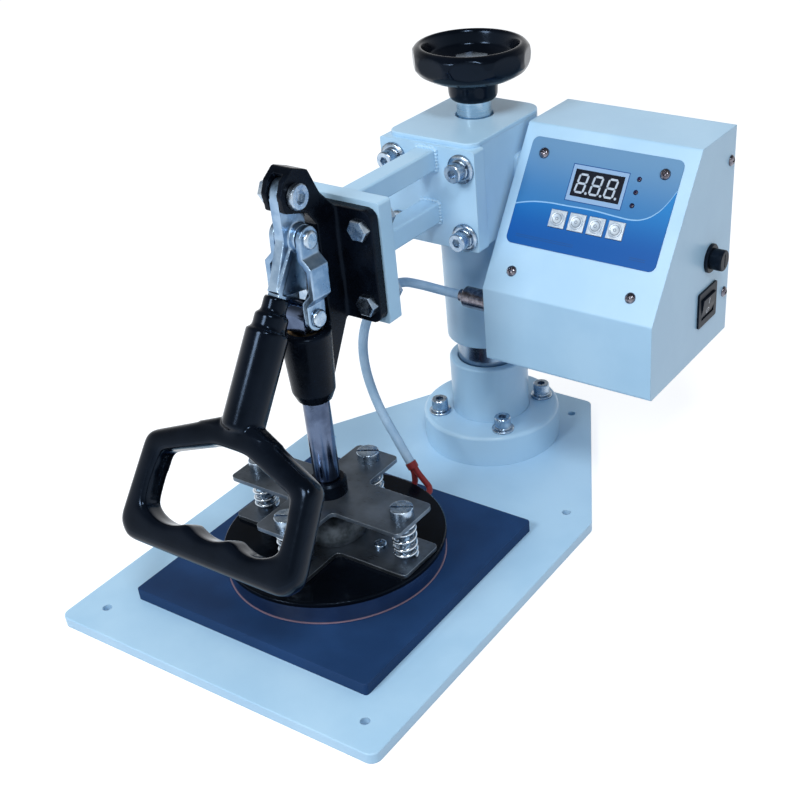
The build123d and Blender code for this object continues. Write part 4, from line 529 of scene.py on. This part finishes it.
def mouldedCopy(nodeName, body, material, look):
    # a solid's own shape with its corners run together, as a mould, a die or a casting leaves them
    mesh = nodes[nodeName].data.copy()
    work = bmesh.new()
    work.from_mesh(mesh)
    bmesh.ops.remove_doubles(work, verts=work.verts, dist=0.002 * mm)
    work.to_mesh(mesh)
    work.free()
    source = newPiece(look["name"] + "Source", mesh)
    remesh = source.modifiers.new("grid", "REMESH")
    remesh.mode = "VOXEL"
    remesh.voxel_size = look["grid"] * mm
    smooth = source.modifiers.new("round", "SMOOTH")
    smooth.factor = 0.5
    smooth.iterations = look["rounds"]
    # a little is taken off all over, so that the run-in corners keep clear of what moves in them
    ease = source.modifiers.new("ease", "DISPLACE")
    ease.mid_level = 0.0
    ease.strength = -look.get("ease", 0.0) * mm
    result = evaluatedMesh(source)
    bpy.data.objects.remove(source)
    if "soft" in look:
        # what lies beyond the place, along the given way, is rounded much further
        work = bmesh.new()
        work.from_mesh(result)
        place, way = Vector(look["soft"][0]) * mm, Vector(look["soft"][1])
        beyond = [vertex for vertex in work.verts if (vertex.co - place).dot(way) > 0]
        for turn in range(look["softRounds"]):
            bmesh.ops.smooth_vert(work, verts=beyond, factor=0.5, use_axis_x=True,
                                  use_axis_y=True, use_axis_z=True)
        work.to_mesh(result)
        work.free()
    result.polygons.foreach_set("use_smooth", [True] * len(result.polygons))
    print(look["name"], "made:", len(result.polygons), "faces")
    addPiece(look["name"], result, material, body, nodeName)


# Solid, body, material and look of each; grid and ease are in mm
mouldings = (
    ("handle_grip", "handle", tumbledPhenolic, {
        "name": "gripMoulding", "grid": 1.0, "rounds": 5, "slot": "black_phenolic",
        "soft": ((0, -274.5, 157), (0, -0.574, -0.819)), "softRounds": 60}),
    ("handwheel", "handwheel", tumbledPhenolic, {
        "name": "wheelMoulding", "grid": 0.8, "rounds": 7, "slot": "black_phenolic"}),
    ("clamp_body", "head", enamelledIron, {
        "name": "clampCasting", "grid": 0.65, "rounds": 2, "ease": 0.12, "slot": "black_casting"}),
    ("pressure_dome", "platen", castBell, {
        "name": "bellCasting", "grid": 0.6, "rounds": 4, "slot": "cast_aluminium"}),
    ("handle_lever", "handle", zincForging, {
        "name": "leverForging", "grid": 0.5, "rounds": 2, "ease": 0.15, "slot": "zinc_steel"}),
    ("toggle_links", "links", zincForging, {
        "name": "linkForging", "grid": 0.5, "rounds": 3, "slot": "zinc_steel"}),
)
for moulding in mouldings:
    mouldedCopy(*moulding)


def startTree(name, sizes):
    # a geometry tree with one named number input for each size
    tree = bpy.data.node_groups.new(name, "GeometryNodeTree")
    tree.interface.new_socket("Geometry", in_out="INPUT", socket_type="NodeSocketGeometry")
    for key in sizes:
        tree.interface.new_socket(key, in_out="INPUT", socket_type="NodeSocketFloat")
    tree.interface.new_socket("Geometry", in_out="OUTPUT", socket_type="NodeSocketGeometry")
    return tree, addNode(tree, "NodeGroupInput").outputs


def joinParts(tree, parts):
    whole = addNode(tree, "GeometryNodeJoinGeometry")
    for part in parts:
        tree.links.new(part.outputs[0], whole.inputs[0])
    return whole


def addShank(tree, sizes, head, corners):
    # the head with its plain shank sunk below it
    shank = addNode(tree, "GeometryNodeMeshCylinder", {
        "Vertices": corners, "Radius": sizes["Shank Radius"], "Depth": sizes["Shank Length"]})
    drop = addNode(tree, mathNode, (sizes["Shank Length"], -0.5), operation="MULTIPLY")
    sunk = addNode(tree, "GeometryNodeTransform", {
        "Geometry": shank, "Translation": addNode(tree, "ShaderNodeCombineXYZ", {"Z": drop})})
    return joinParts(tree, (head, sunk))


def endTree(tree, sizes, shape, material):
    # one copy of the shape on each point that comes in
    copies = addNode(tree, "GeometryNodeInstanceOnPoints", {"Points": sizes["Geometry"], "Instance": shape})
    real = addNode(tree, "GeometryNodeRealizeInstances", {"Geometry": copies})
    painted = addNode(tree, "GeometryNodeSetMaterial", {"Geometry": real, "Material": material})
    addNode(tree, "NodeGroupOutput", {"Geometry": painted})


def runTree(tree, name, sizes, places):
    # sizes are in mm and stand on one point for each place; the result is one plain mesh
    carrier = bpy.data.meshes.new(name + "Places")
    carrier.from_pydata([Vector(place) for place in places], [], [])
    piece = newPiece(name + "Carrier", carrier)
    modifier = piece.modifiers.new(name, "NODES")
    modifier.node_group = tree
    for item in tree.interface.items_tree:
        if item.in_out == "INPUT" and item.name in sizes:
            modifier[item.identifier] = float(sizes[item.name])
    mesh = evaluatedMesh(piece)
    mesh.name = name
    bpy.data.objects.remove(piece)
    return mesh


# Pressure springs: round wire in open coils, pinched flat at both ends, in mm; float is how far the
# platen rises, and gap keeps the coils off their seats
springs = {
    "low": 38.4, "high": 69.0,
    "sizes": {"Radius": 7.5, "Wire": 1.35, "Turns": 5.6, "Height": 27.8, "Closing": 0.3},
    "places": ((62, -205), (-62, -205), (0, -160), (0, -250)), "steps": 260, "sides": 12,
    "float": 5.0, "gap": 0.05,
}


def makeSprings(look):
    tree, sizes = startTree("coilSpring", look["sizes"])
    line = addNode(tree, "GeometryNodeCurvePrimitiveLine", {"End": (0, 0, 1)})
    points = addNode(tree, "GeometryNodeResampleCurve", {"Curve": line, "Count": look["steps"]})
    along = addNode(tree, "GeometryNodeSplineParameter").outputs["Factor"]
    turn = addNode(tree, mathNode, (along, fullTurn), operation="MULTIPLY")
    angle = addNode(tree, mathNode, (turn, sizes["Turns"]), operation="MULTIPLY")
    wave = addNode(tree, mathNode, (turn,), operation="SINE")
    pinch = addNode(tree, mathNode, (wave, sizes["Closing"]), operation="MULTIPLY")
    share = addNode(tree, mathNode, (pinch, fullTurn), operation="DIVIDE")
    level = addNode(tree, mathNode, (along, share), operation="SUBTRACT")
    rise = addNode(tree, mathNode, (level, sizes["Height"]), operation="MULTIPLY")
    ends = []
    for operation in ("COSINE", "SINE"):
        unit = addNode(tree, mathNode, (angle,), operation=operation)
        ends.append(addNode(tree, mathNode, (unit, sizes["Radius"]), operation="MULTIPLY"))
    place = addNode(tree, "ShaderNodeCombineXYZ", {"X": ends[0], "Y": ends[1], "Z": rise})
    coil = addNode(tree, "GeometryNodeSetPosition", {"Geometry": points, "Position": place})
    wire = addNode(tree, "GeometryNodeCurvePrimitiveCircle", {
        "Resolution": look["sides"], "Radius": sizes["Wire"]})
    tube = addNode(tree, "GeometryNodeCurveToMesh", {"Curve": coil, "Profile Curve": wire, "Fill Caps": True})
    smooth = addNode(tree, "GeometryNodeSetShadeSmooth", {"Geometry": tube})
    endTree(tree, sizes, smooth, springWire)
    seat = look["low"] + look["sizes"]["Wire"] + look["gap"]
    mesh = runTree(tree, "pressureCoils", look["sizes"], [(x, y, seat) for x, y in look["places"]])
    mesh.transform(Matrix.Scale(mm, 4))
    piece = addPiece("pressureCoils", mesh, None, "plunger", "pressure_springs")
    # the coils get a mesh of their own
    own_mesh(piece)
    return piece


pressureCoils = makeSprings(springs)
print("springs made:", len(pressureCoils.data.polygons), "faces")

# Socket screws: knurled head with a chamfered rim and a hexagon socket, in mm;
# half of the key depth stands above the mouth
socketScrew = {
    "Head Radius": 6.5, "Head Height": 8.0, "Rim": 0.6, "Rim Depth": 0.7, "Knurl": 0.16, "Key": 3.35,
    "Key Depth": 9.0, "Shank Radius": 4.0, "Shank Length": 14.0,
}


def makeScrewTree(look):
    tree, sizes = startTree("socketScrew", look)
    half = addNode(tree, mathNode, (sizes["Head Height"], 2.0), operation="DIVIDE")
    lift = addNode(tree, "ShaderNodeCombineXYZ", {"Z": half})
    body = addNode(tree, "GeometryNodeMeshCylinder", {
        "Vertices": 72, "Side Segments": 12, "Radius": sizes["Head Radius"], "Depth": sizes["Head Height"]})
    raised = addNode(tree, "GeometryNodeTransform", {"Geometry": body, "Translation": lift})
    place = addNode(tree, "GeometryNodeInputPosition")
    height = addNode(tree, "ShaderNodeSeparateXYZ", (place,)).outputs["Z"]
    # the knurl runs on the middle rings, every other point pushed in
    index = addNode(tree, "GeometryNodeInputIndex")
    odd = addNode(tree, mathNode, (index, 2.0), operation="MODULO")
    start = addNode(tree, mathNode, (sizes["Head Height"], sizes["Rim Depth"]), operation="SUBTRACT")
    top = addNode(tree, "ShaderNodeMapRange", {
        "Value": height, "From Min": start, "From Max": sizes["Head Height"]})
    inner = addNode(tree, mathNode, (top, 0.01), operation="LESS_THAN")
    groove = addNode(tree, mathNode, (odd, inner), operation="MULTIPLY")
    groove = addNode(tree, mathNode, (groove, sizes["Knurl"]), operation="MULTIPLY")
    rim = addNode(tree, mathNode, (top, sizes["Rim"]), operation="MULTIPLY")
    inward = addNode(tree, mathNode, (groove, rim), operation="ADD")
    flat = addNode(tree, vectorMath, (place, (-1, -1, 0)), operation="MULTIPLY")
    aim = addNode(tree, vectorMath, (flat,), operation="NORMALIZE")
    push = addNode(tree, vectorMath, {0: aim, "Scale": inward}, operation="SCALE")
    knurled = addNode(tree, "GeometryNodeSetPosition", {"Geometry": raised, "Offset": push})
    key = addNode(tree, "GeometryNodeMeshCylinder", {
        "Vertices": 6, "Radius": sizes["Key"], "Depth": sizes["Key Depth"]})
    mouth = addNode(tree, "ShaderNodeCombineXYZ", {"Z": sizes["Head Height"]})
    cutter = addNode(tree, "GeometryNodeTransform", {"Geometry": key, "Translation": mouth})
    head = addNode(tree, "GeometryNodeMeshBoolean", {
        "Mesh 1": knurled, "Mesh 2": cutter}, operation="DIFFERENCE")
    endTree(tree, sizes, addShank(tree, sizes, head, 20), zincPlate)
    return tree


# Plain washer under a split spring washer, both swept from a flat section, in mm and radians
washerPair = {
    "Plain Radius": 8.8, "Plain Thickness": 1.6, "Hole Radius": 4.4,
    "Split Radius": 6.9, "Split Thickness": 1.7, "Rise": 0.25, "Opening": math.radians(14),
}


def makeWasherTree(look):
    tree, sizes = startTree("washerPair", look)
    rings = []
    rest = addNode(tree, mathNode, (fullTurn, sizes["Opening"]), operation="SUBTRACT")
    for outer, thick, sweep in (("Plain Radius", "Plain Thickness", fullTurn),
                                ("Split Radius", "Split Thickness", rest)):
        total = addNode(tree, mathNode, (sizes[outer], sizes["Hole Radius"]), operation="ADD")
        middle = addNode(tree, mathNode, (total, 0.5), operation="MULTIPLY")
        width = addNode(tree, mathNode, (sizes[outer], sizes["Hole Radius"]), operation="SUBTRACT")
        path = addNode(tree, "GeometryNodeCurveArc", {
            "Resolution": 64, "Radius": middle, "Start Angle": 0.6, "Sweep Angle": sweep})
        section = addNode(tree, "GeometryNodeCurvePrimitiveQuadrilateral", {
            "Width": width, "Height": sizes[thick]})
        along = addNode(tree, "GeometryNodeSplineParameter").outputs["Factor"]
        half = addNode(tree, mathNode, (sizes[thick], 0.5), operation="MULTIPLY")
        if outer == "Split Radius":
            # the split ring stands on the plain one and rises a little to its open end
            climb = addNode(tree, mathNode, (along, sizes["Rise"]), operation="MULTIPLY")
            stacked = addNode(tree, mathNode, (half, sizes["Plain Thickness"]), operation="ADD")
            half = addNode(tree, mathNode, (stacked, climb), operation="ADD")
        level = addNode(tree, "ShaderNodeCombineXYZ", {"Z": half})
        lifted = addNode(tree, "GeometryNodeSetPosition", {"Geometry": path, "Offset": level})
        rings.append(addNode(tree, "GeometryNodeCurveToMesh", {
            "Curve": lifted, "Profile Curve": section, "Fill Caps": True}))
    endTree(tree, sizes, joinParts(tree, rings), zincPlate)
    return tree


# Where the screws stand: on the flange and on the arm's plate, whose outward way is -Y
screwSets = (
    {"name": "flange", "body": "base", "seat": 34.0, "stack": 3.6, "washers": {},
     "places": [(x, y) for x in (-30, 30) for y in (-30, 30)], "turn": Matrix.Identity(4)},
    {"name": "arm", "body": "head", "seat": 61.0, "stack": 4.0,
     "washers": {"Plain Radius": 10.0, "Plain Thickness": 2.0},
     "places": [(x, z) for x in (-28, 28) for z in (208, 257.5)],
     "turn": Matrix.Rotation(math.pi / 2, 4, "X")},
)
screwTree = makeScrewTree(socketScrew)
washerTree = makeWasherTree(washerPair)
for screwSet in screwSets:
    for kind, tree, sizes, level in (
        ("screws", screwTree, socketScrew, screwSet["seat"] + screwSet["stack"]),
        ("washers", washerTree, {**washerPair, **screwSet["washers"]}, screwSet["seat"]),
    ):
        name = screwSet["name"] + kind.capitalize()
        mesh = runTree(tree, name, sizes, [(a, b, level) for a, b in screwSet["places"]])
        mesh.transform(Matrix.Scale(mm, 4) @ screwSet["turn"])
        addPiece(name, mesh, None, screwSet["body"], screwSet["name"] + "_" + kind)
        print(name, "made:", len(mesh.polygons), "faces")

# Dome screws of the control box: a rounded head with a cross recess, in mm
domeScrew = {
    "Head Radius": 3.9, "Head Height": 2.6, "Cross": 4.0, "Cross Width": 1.0, "Cross Depth": 2.8,
    "Shank Radius": 2.0, "Shank Length": 5.0,
}


def makeDomeTree(look):
    tree, sizes = startTree("domeScrew", look)
    ball = addNode(tree, "GeometryNodeMeshUVSphere", {"Segments": 40, "Rings": 24, "Radius": 1.0})
    place = addNode(tree, "GeometryNodeInputPosition")
    upper = addNode(tree, vectorMath, (place, (-2, -2, 0)), operation="MAXIMUM")
    spread = addNode(tree, "ShaderNodeCombineXYZ", {
        "X": sizes["Head Radius"], "Y": sizes["Head Radius"], "Z": sizes["Head Height"]})
    target = addNode(tree, vectorMath, (upper, spread), operation="MULTIPLY")
    dome = addNode(tree, "GeometryNodeSetPosition", {"Geometry": ball, "Position": target})
    smooth = addNode(tree, "GeometryNodeSetShadeSmooth", {"Geometry": dome})
    lift = addNode(tree, "ShaderNodeCombineXYZ", {"Z": sizes["Head Height"]})
    bars = []
    for first, second in (("Cross", "Cross Width"), ("Cross Width", "Cross")):
        size = addNode(tree, "ShaderNodeCombineXYZ", {
            "X": sizes[first], "Y": sizes[second], "Z": sizes["Cross Depth"]})
        bar = addNode(tree, "GeometryNodeMeshCube", {"Size": size})
        bars.append(addNode(tree, "GeometryNodeTransform", {"Geometry": bar, "Translation": lift}))
    head = addNode(tree, "GeometryNodeMeshBoolean", {
        "Mesh 1": smooth, "Mesh 2": bars[0]}, operation="DIFFERENCE", solver="EXACT")
    tree.links.new(bars[1].outputs[0], head.inputs["Mesh 2"])
    endTree(tree, sizes, addShank(tree, sizes, head, 16), nickelPlate)
    return tree


# the screws' heads on the sloping front, the right side and the left side
boxSides = (
    (panelMatrix, ((19.0, 101.5, 0.6), (112.7, 101.5, 0.6), (19.0, 16.5, 0), (112.7, 16.5, 0))),
    (axesMatrix((0, 0, 0), ((0, 1, 0), (0, 0, 1), (1, 0, 0))), ((59, 247, 173), (59, 147, 173))),
    (axesMatrix((0, 0, 0), ((0, -1, 0), (0, 0, 1), (-1, 0, 0))), ((-59, 247, -39), (-59, 147, -39))),
)


def makeDomeScrews():
    tree = makeDomeTree(domeScrew)
    work = bmesh.new()
    for matrix, places in boxSides:
        mesh = runTree(tree, "domeScrews", domeScrew, places)
        mesh.transform(matrix)
        work.from_mesh(mesh)
    whole = takeMesh(work, "domeScrews")
    return addPiece("domeScrews", whole, nickelPlate, "head", "box_screws")


domeScrews = makeDomeScrews()
print("dome screws made:", len(domeScrews.data.polygons), "faces")

# Weld beads round the arm's two bars at both plates, in mm
welds = {
    "sizes": {"Side": 15.6, "Corner": 2.0, "Bead": 1.5, "Ripple": 0.16, "Waves": 26.0},
    "heights": (222.5, 260.5), "plates": (-61.3, -150.7), "steps": 240, "sides": 10,
}


def makeWelds(look):
    tree, sizes = startTree("weldBead", look["sizes"])
    square = addNode(tree, "GeometryNodeCurvePrimitiveQuadrilateral", {
        "Width": sizes["Side"], "Height": sizes["Side"]})
    rounded = addNode(tree, "GeometryNodeFilletCurve", {
        "Curve": square, "Count": 6, "Radius": sizes["Corner"]}, mode="POLY")
    points = addNode(tree, "GeometryNodeResampleCurve", {"Curve": rounded, "Count": look["steps"]})
    along = addNode(tree, "GeometryNodeSplineParameter").outputs["Factor"]
    turn = addNode(tree, mathNode, (along, fullTurn), operation="MULTIPLY")
    phase = addNode(tree, mathNode, (turn, sizes["Waves"]), operation="MULTIPLY")
    wave = addNode(tree, mathNode, (phase,), operation="SINE")
    swell = addNode(tree, mathNode, (wave, sizes["Ripple"], 1.0), operation="MULTIPLY_ADD")
    section = addNode(tree, "GeometryNodeCurvePrimitiveCircle", {
        "Resolution": look["sides"], "Radius": sizes["Bead"]})
    bead = addNode(tree, "GeometryNodeCurveToMesh", {
        "Curve": points, "Profile Curve": section, "Scale": swell})
    smooth = addNode(tree, "GeometryNodeSetShadeSmooth", {"Geometry": bead})
    endTree(tree, sizes, smooth, powderCoat)
    places = [(0, height, -plate) for height in look["heights"] for plate in look["plates"]]
    mesh = runTree(tree, "weldBeads", look["sizes"], places)
    mesh.transform(Matrix.Scale(mm, 4) @ Matrix.Rotation(math.pi / 2, 4, "X"))
    return addPiece("weldBeads", mesh, None, "head")


weldBeads = makeWelds(welds)
print("weld beads made:", len(weldBeads.data.polygons), "faces")


def shapeMesh(name, outlines, matrix, thick):
    # flat outlines in mm with a little thickness, placed by the matrix
    work = bmesh.new()
    for outline in outlines:
        work.faces.new([work.verts.new(point) for point in outline])
    bmesh.ops.remove_doubles(work, verts=work.verts, dist=0.001)
    raised = bmesh.ops.extrude_face_region(work, geom=list(work.faces))
    for vertex in (v for v in raised["geom"] if isinstance(v, bmesh.types.BMVert)):
        vertex.co.z += thick
    bmesh.ops.recalc_face_normals(work, faces=work.faces)
    return takeMesh(work, name, matrix)


# Seven-segment digits behind the window, none lit, in mm; slant is their lean as a share of height
digits = {
    "height": 12.6, "width": 6.4, "bar": 1.5, "slant": 0.12, "pitch": 11.4, "gap": 0.18, "aside": 0.8,
    "dot": 0.95, "dotAside": 1.8, "dotSteps": 16, "lift": 0.5, "thick": 0.06,
}


def makeDigits(look):
    half, tall = look["width"] / 2, look["height"] / 2
    bars = [((-half, y), (half, y)) for y in (-tall, 0, tall)]
    bars += [((x, y), (x, y + tall)) for x in (-half, half) for y in (-tall, 0)]
    outlines = []
    for number in (-1, 0, 1):
        middle = panel["windowX"] + number * look["pitch"] - look["aside"]
        for start, stop in bars:
            first, last = Vector(start), Vector(stop)
            along = (last - first).normalized()
            side = Vector((-along.y, along.x)) * look["bar"] / 2
            first = first + along * look["gap"]
            last = last - along * look["gap"]
            inset = along * look["bar"] / 2
            corners = (first, first + inset + side, last - inset + side, last,
                       last - inset - side, first + inset - side)
            outlines.append([(middle + c.x + c.y * look["slant"], panel["windowS"] + c.y, look["lift"])
                             for c in corners])
        outlines.append([(middle + half + look["dotAside"] + look["dot"] * math.cos(a),
                          panel["windowS"] - tall + look["dot"] * math.sin(a), look["lift"])
                         for a in (i * fullTurn / look["dotSteps"] for i in range(look["dotSteps"]))])
    mesh = shapeMesh("displayDigits", outlines, panelMatrix, look["thick"])
    addPiece("displayDigits", mesh, milkyResin, "head")


makeDigits(digits)
print("digits made")


def ringOutlines(outer, inner, steps, centre, lift):
    # a flat ring as one four-cornered outline for each step
    turns = [fullTurn * i / steps for i in range(steps + 1)]
    return [[(centre[0] + r * math.cos(a), centre[1] + r * math.sin(a), lift)
             for r, a in ((inner, first), (outer, first), (outer, last), (inner, last))]
            for first, last in zip(turns, turns[1:])]


# Keys: a dished round top on each square cap, with a printed ring and dot, in mm
keys = {
    "profile": ((4.8, 1.9), (4.75, 2.2), (4.5, 2.36), (4.15, 2.36), (3.8, 2.2), (2.8, 2.1), (1.4, 2.05)),
    "steps": 48, "ring": (3.5, 3.2), "dot": (1.15, 0.8), "lift": 2.2, "thick": 0.02,
}


def makeKeys(look):
    for number, x in enumerate(panel["buttonX"], 1):
        centre = (x, panel["buttonS"])
        work = bmesh.new()
        turns = [fullTurn * i / look["steps"] for i in range(look["steps"])]
        rings = [[work.verts.new((centre[0] + r * math.cos(a), centre[1] + r * math.sin(a), h))
                  for a in turns] for r, h in look["profile"]]
        for outer, inner in zip(rings, rings[1:]):
            for i in range(look["steps"]):
                j = (i + 1) % look["steps"]
                work.faces.new((outer[i], outer[j], inner[j], inner[i])).smooth = True
        work.faces.new(rings[-1])
        work.faces.new(list(reversed(rings[0])))
        dish = takeMesh(work, "keyDish%d" % number, panelMatrix)
        outlines = []
        for outer, inner in (look["ring"], look["dot"]):
            outlines += ringOutlines(outer, inner, look["steps"], centre, look["lift"])
        ink = shapeMesh("keyInk%d" % number, outlines, panelMatrix, look["thick"])
        for mesh, material in ((dish, metallisedStyrene), (ink, keyInk)):
            addPiece(mesh.name, mesh, material, "button_%d" % number)


makeKeys(keys)
print("keys made")

# Marks of the mains rocker: a ring on its lower half and a stroke on its upper half, in mm
rockerMarks = {
    "ring": (2.3, 1.75), "stroke": (0.32, 2.3), "steps": 40, "thick": 0.05,
    "lower": ((174.6, 28, 146), (0.196, 0, 0.981)), "upper": ((175.8, 28, 153.7), (0.107, 0, 0.994)),
}


def makeRockerMarks(look):
    half, tall = look["stroke"]
    stroke = [[(-half, -tall, 0), (half, -tall, 0), (half, tall, 0), (-half, tall, 0)]]
    ring = ringOutlines(*look["ring"], look["steps"], (0, 0), 0)
    for name, outlines, (centre, up) in (("rockerRing", ring, look["lower"]),
                                         ("rockerStroke", stroke, look["upper"])):
        across, upward = Vector((0, 1, 0)), Vector(up).normalized()
        matrix = axesMatrix(centre, (across, upward, across.cross(upward)))
        mesh = shapeMesh(name, outlines, matrix, look["thick"])
        addPiece(name, mesh, padPrint, "rocker")


makeRockerMarks(rockerMarks)
print("rocker marks made")

# Studio: places in mm, lamp power in watts, lamp and floor sizes in metres; above the heights in
# wallTop (1 is straight up) metal and glass see a ceiling of that strength
studio = {
    "lamps": (("frontLamp", (-200, -1560, 1300), 16.0, 0.55), ("highLamp", (800, -920, 1690), 12.5, 0.4)),
    "aim": (20, -140, 130), "light": 0.5, "wallTop": (0.05, 0.7), "ceiling": 0.15,
    "floorSize": 6.0, "floorColor": "#B2B8C0", "floorGlow": 0.75,
}


def seenShare(tree):
    # 1 for what the camera, metal and glass see, 0 for the light that falls on things
    ray = addNode(tree, "ShaderNodeLightPath").outputs
    share = addNode(tree, mathNode, (ray["Is Camera Ray"], ray["Is Glossy Ray"]), operation="MAXIMUM")
    return addNode(tree, mathNode, (share, ray["Is Transmission Ray"]), operation="MAXIMUM")


def makeStudio(look):
    world = bpy.data.worlds.new("paleRoom")
    scene.world = world
    tree = bareTree(world)
    view = addNode(tree, "ShaderNodeTexCoord").outputs["Generated"]
    height = addNode(tree, "ShaderNodeSeparateXYZ", (view,)).outputs["Z"]
    overhead = addNode(tree, "ShaderNodeMapRange", {
        "Value": height, "From Min": look["wallTop"][0], "From Max": look["wallTop"][1]},
        interpolation_type="SMOOTHSTEP")
    shade = addNode(tree, "ShaderNodeMapRange", {"Value": overhead, "To Min": 1.0, "To Max": look["ceiling"]})
    # the camera sees the room plain white, and only metal and glass see its darker ceiling
    direct = addNode(tree, "ShaderNodeLightPath").outputs["Is Camera Ray"]
    plain = addNode(tree, mathNode, (shade, direct), operation="MAXIMUM")
    seen = addNode(tree, "ShaderNodeBackground", {"Strength": plain})
    light = addNode(tree, "ShaderNodeBackground", {"Color": (1, 1, 1, 1), "Strength": look["light"]})
    seen.inputs["Color"].default_value = (1, 1, 1, 1)
    both = addNode(tree, "ShaderNodeMixShader", (seenShare(tree), light, seen))
    addNode(tree, "ShaderNodeOutputWorld", {"Surface": both})

    paper = bpy.data.materials.new("paperFloor")
    tree = bareTree(paper)
    glow = addNode(tree, mathNode, (seenShare(tree), look["floorGlow"]), operation="MULTIPLY")
    shader = addNode(tree, "ShaderNodeBsdfPrincipled", {
        "Base Color": look["floorColor"], "Roughness": 0.9, "Specular IOR Level": 0.0,
        "Emission Color": (1, 1, 1, 1), "Emission Strength": glow})
    addNode(tree, "ShaderNodeOutputMaterial", {"Surface": shader})
    half = look["floorSize"] / 2
    mesh = bpy.data.meshes.new("paperFloor")
    corners = ((-half, -half), (half, -half), (half, half), (-half, half))
    mesh.from_pydata([(x, y, -0.0002) for x, y in corners], [], [(0, 1, 2, 3)])
    newPiece("paperFloor", mesh, paper)

    for name, place, power, size in look["lamps"]:
        data = bpy.data.lights.new(name, "AREA")
        data.shape = "DISK"
        data.size = size
        data.energy = power
        lamp = bpy.data.objects.new(name, data)
        scene.collection.objects.link(lamp)
        lamp.location = Vector(place) * mm
        lamp.rotation_euler = (Vector(place) - Vector(look["aim"])).to_track_quat("Z", "Y").to_euler()


makeStudio(studio)
scene.view_settings.view_transform = "Standard"
print("studio made")
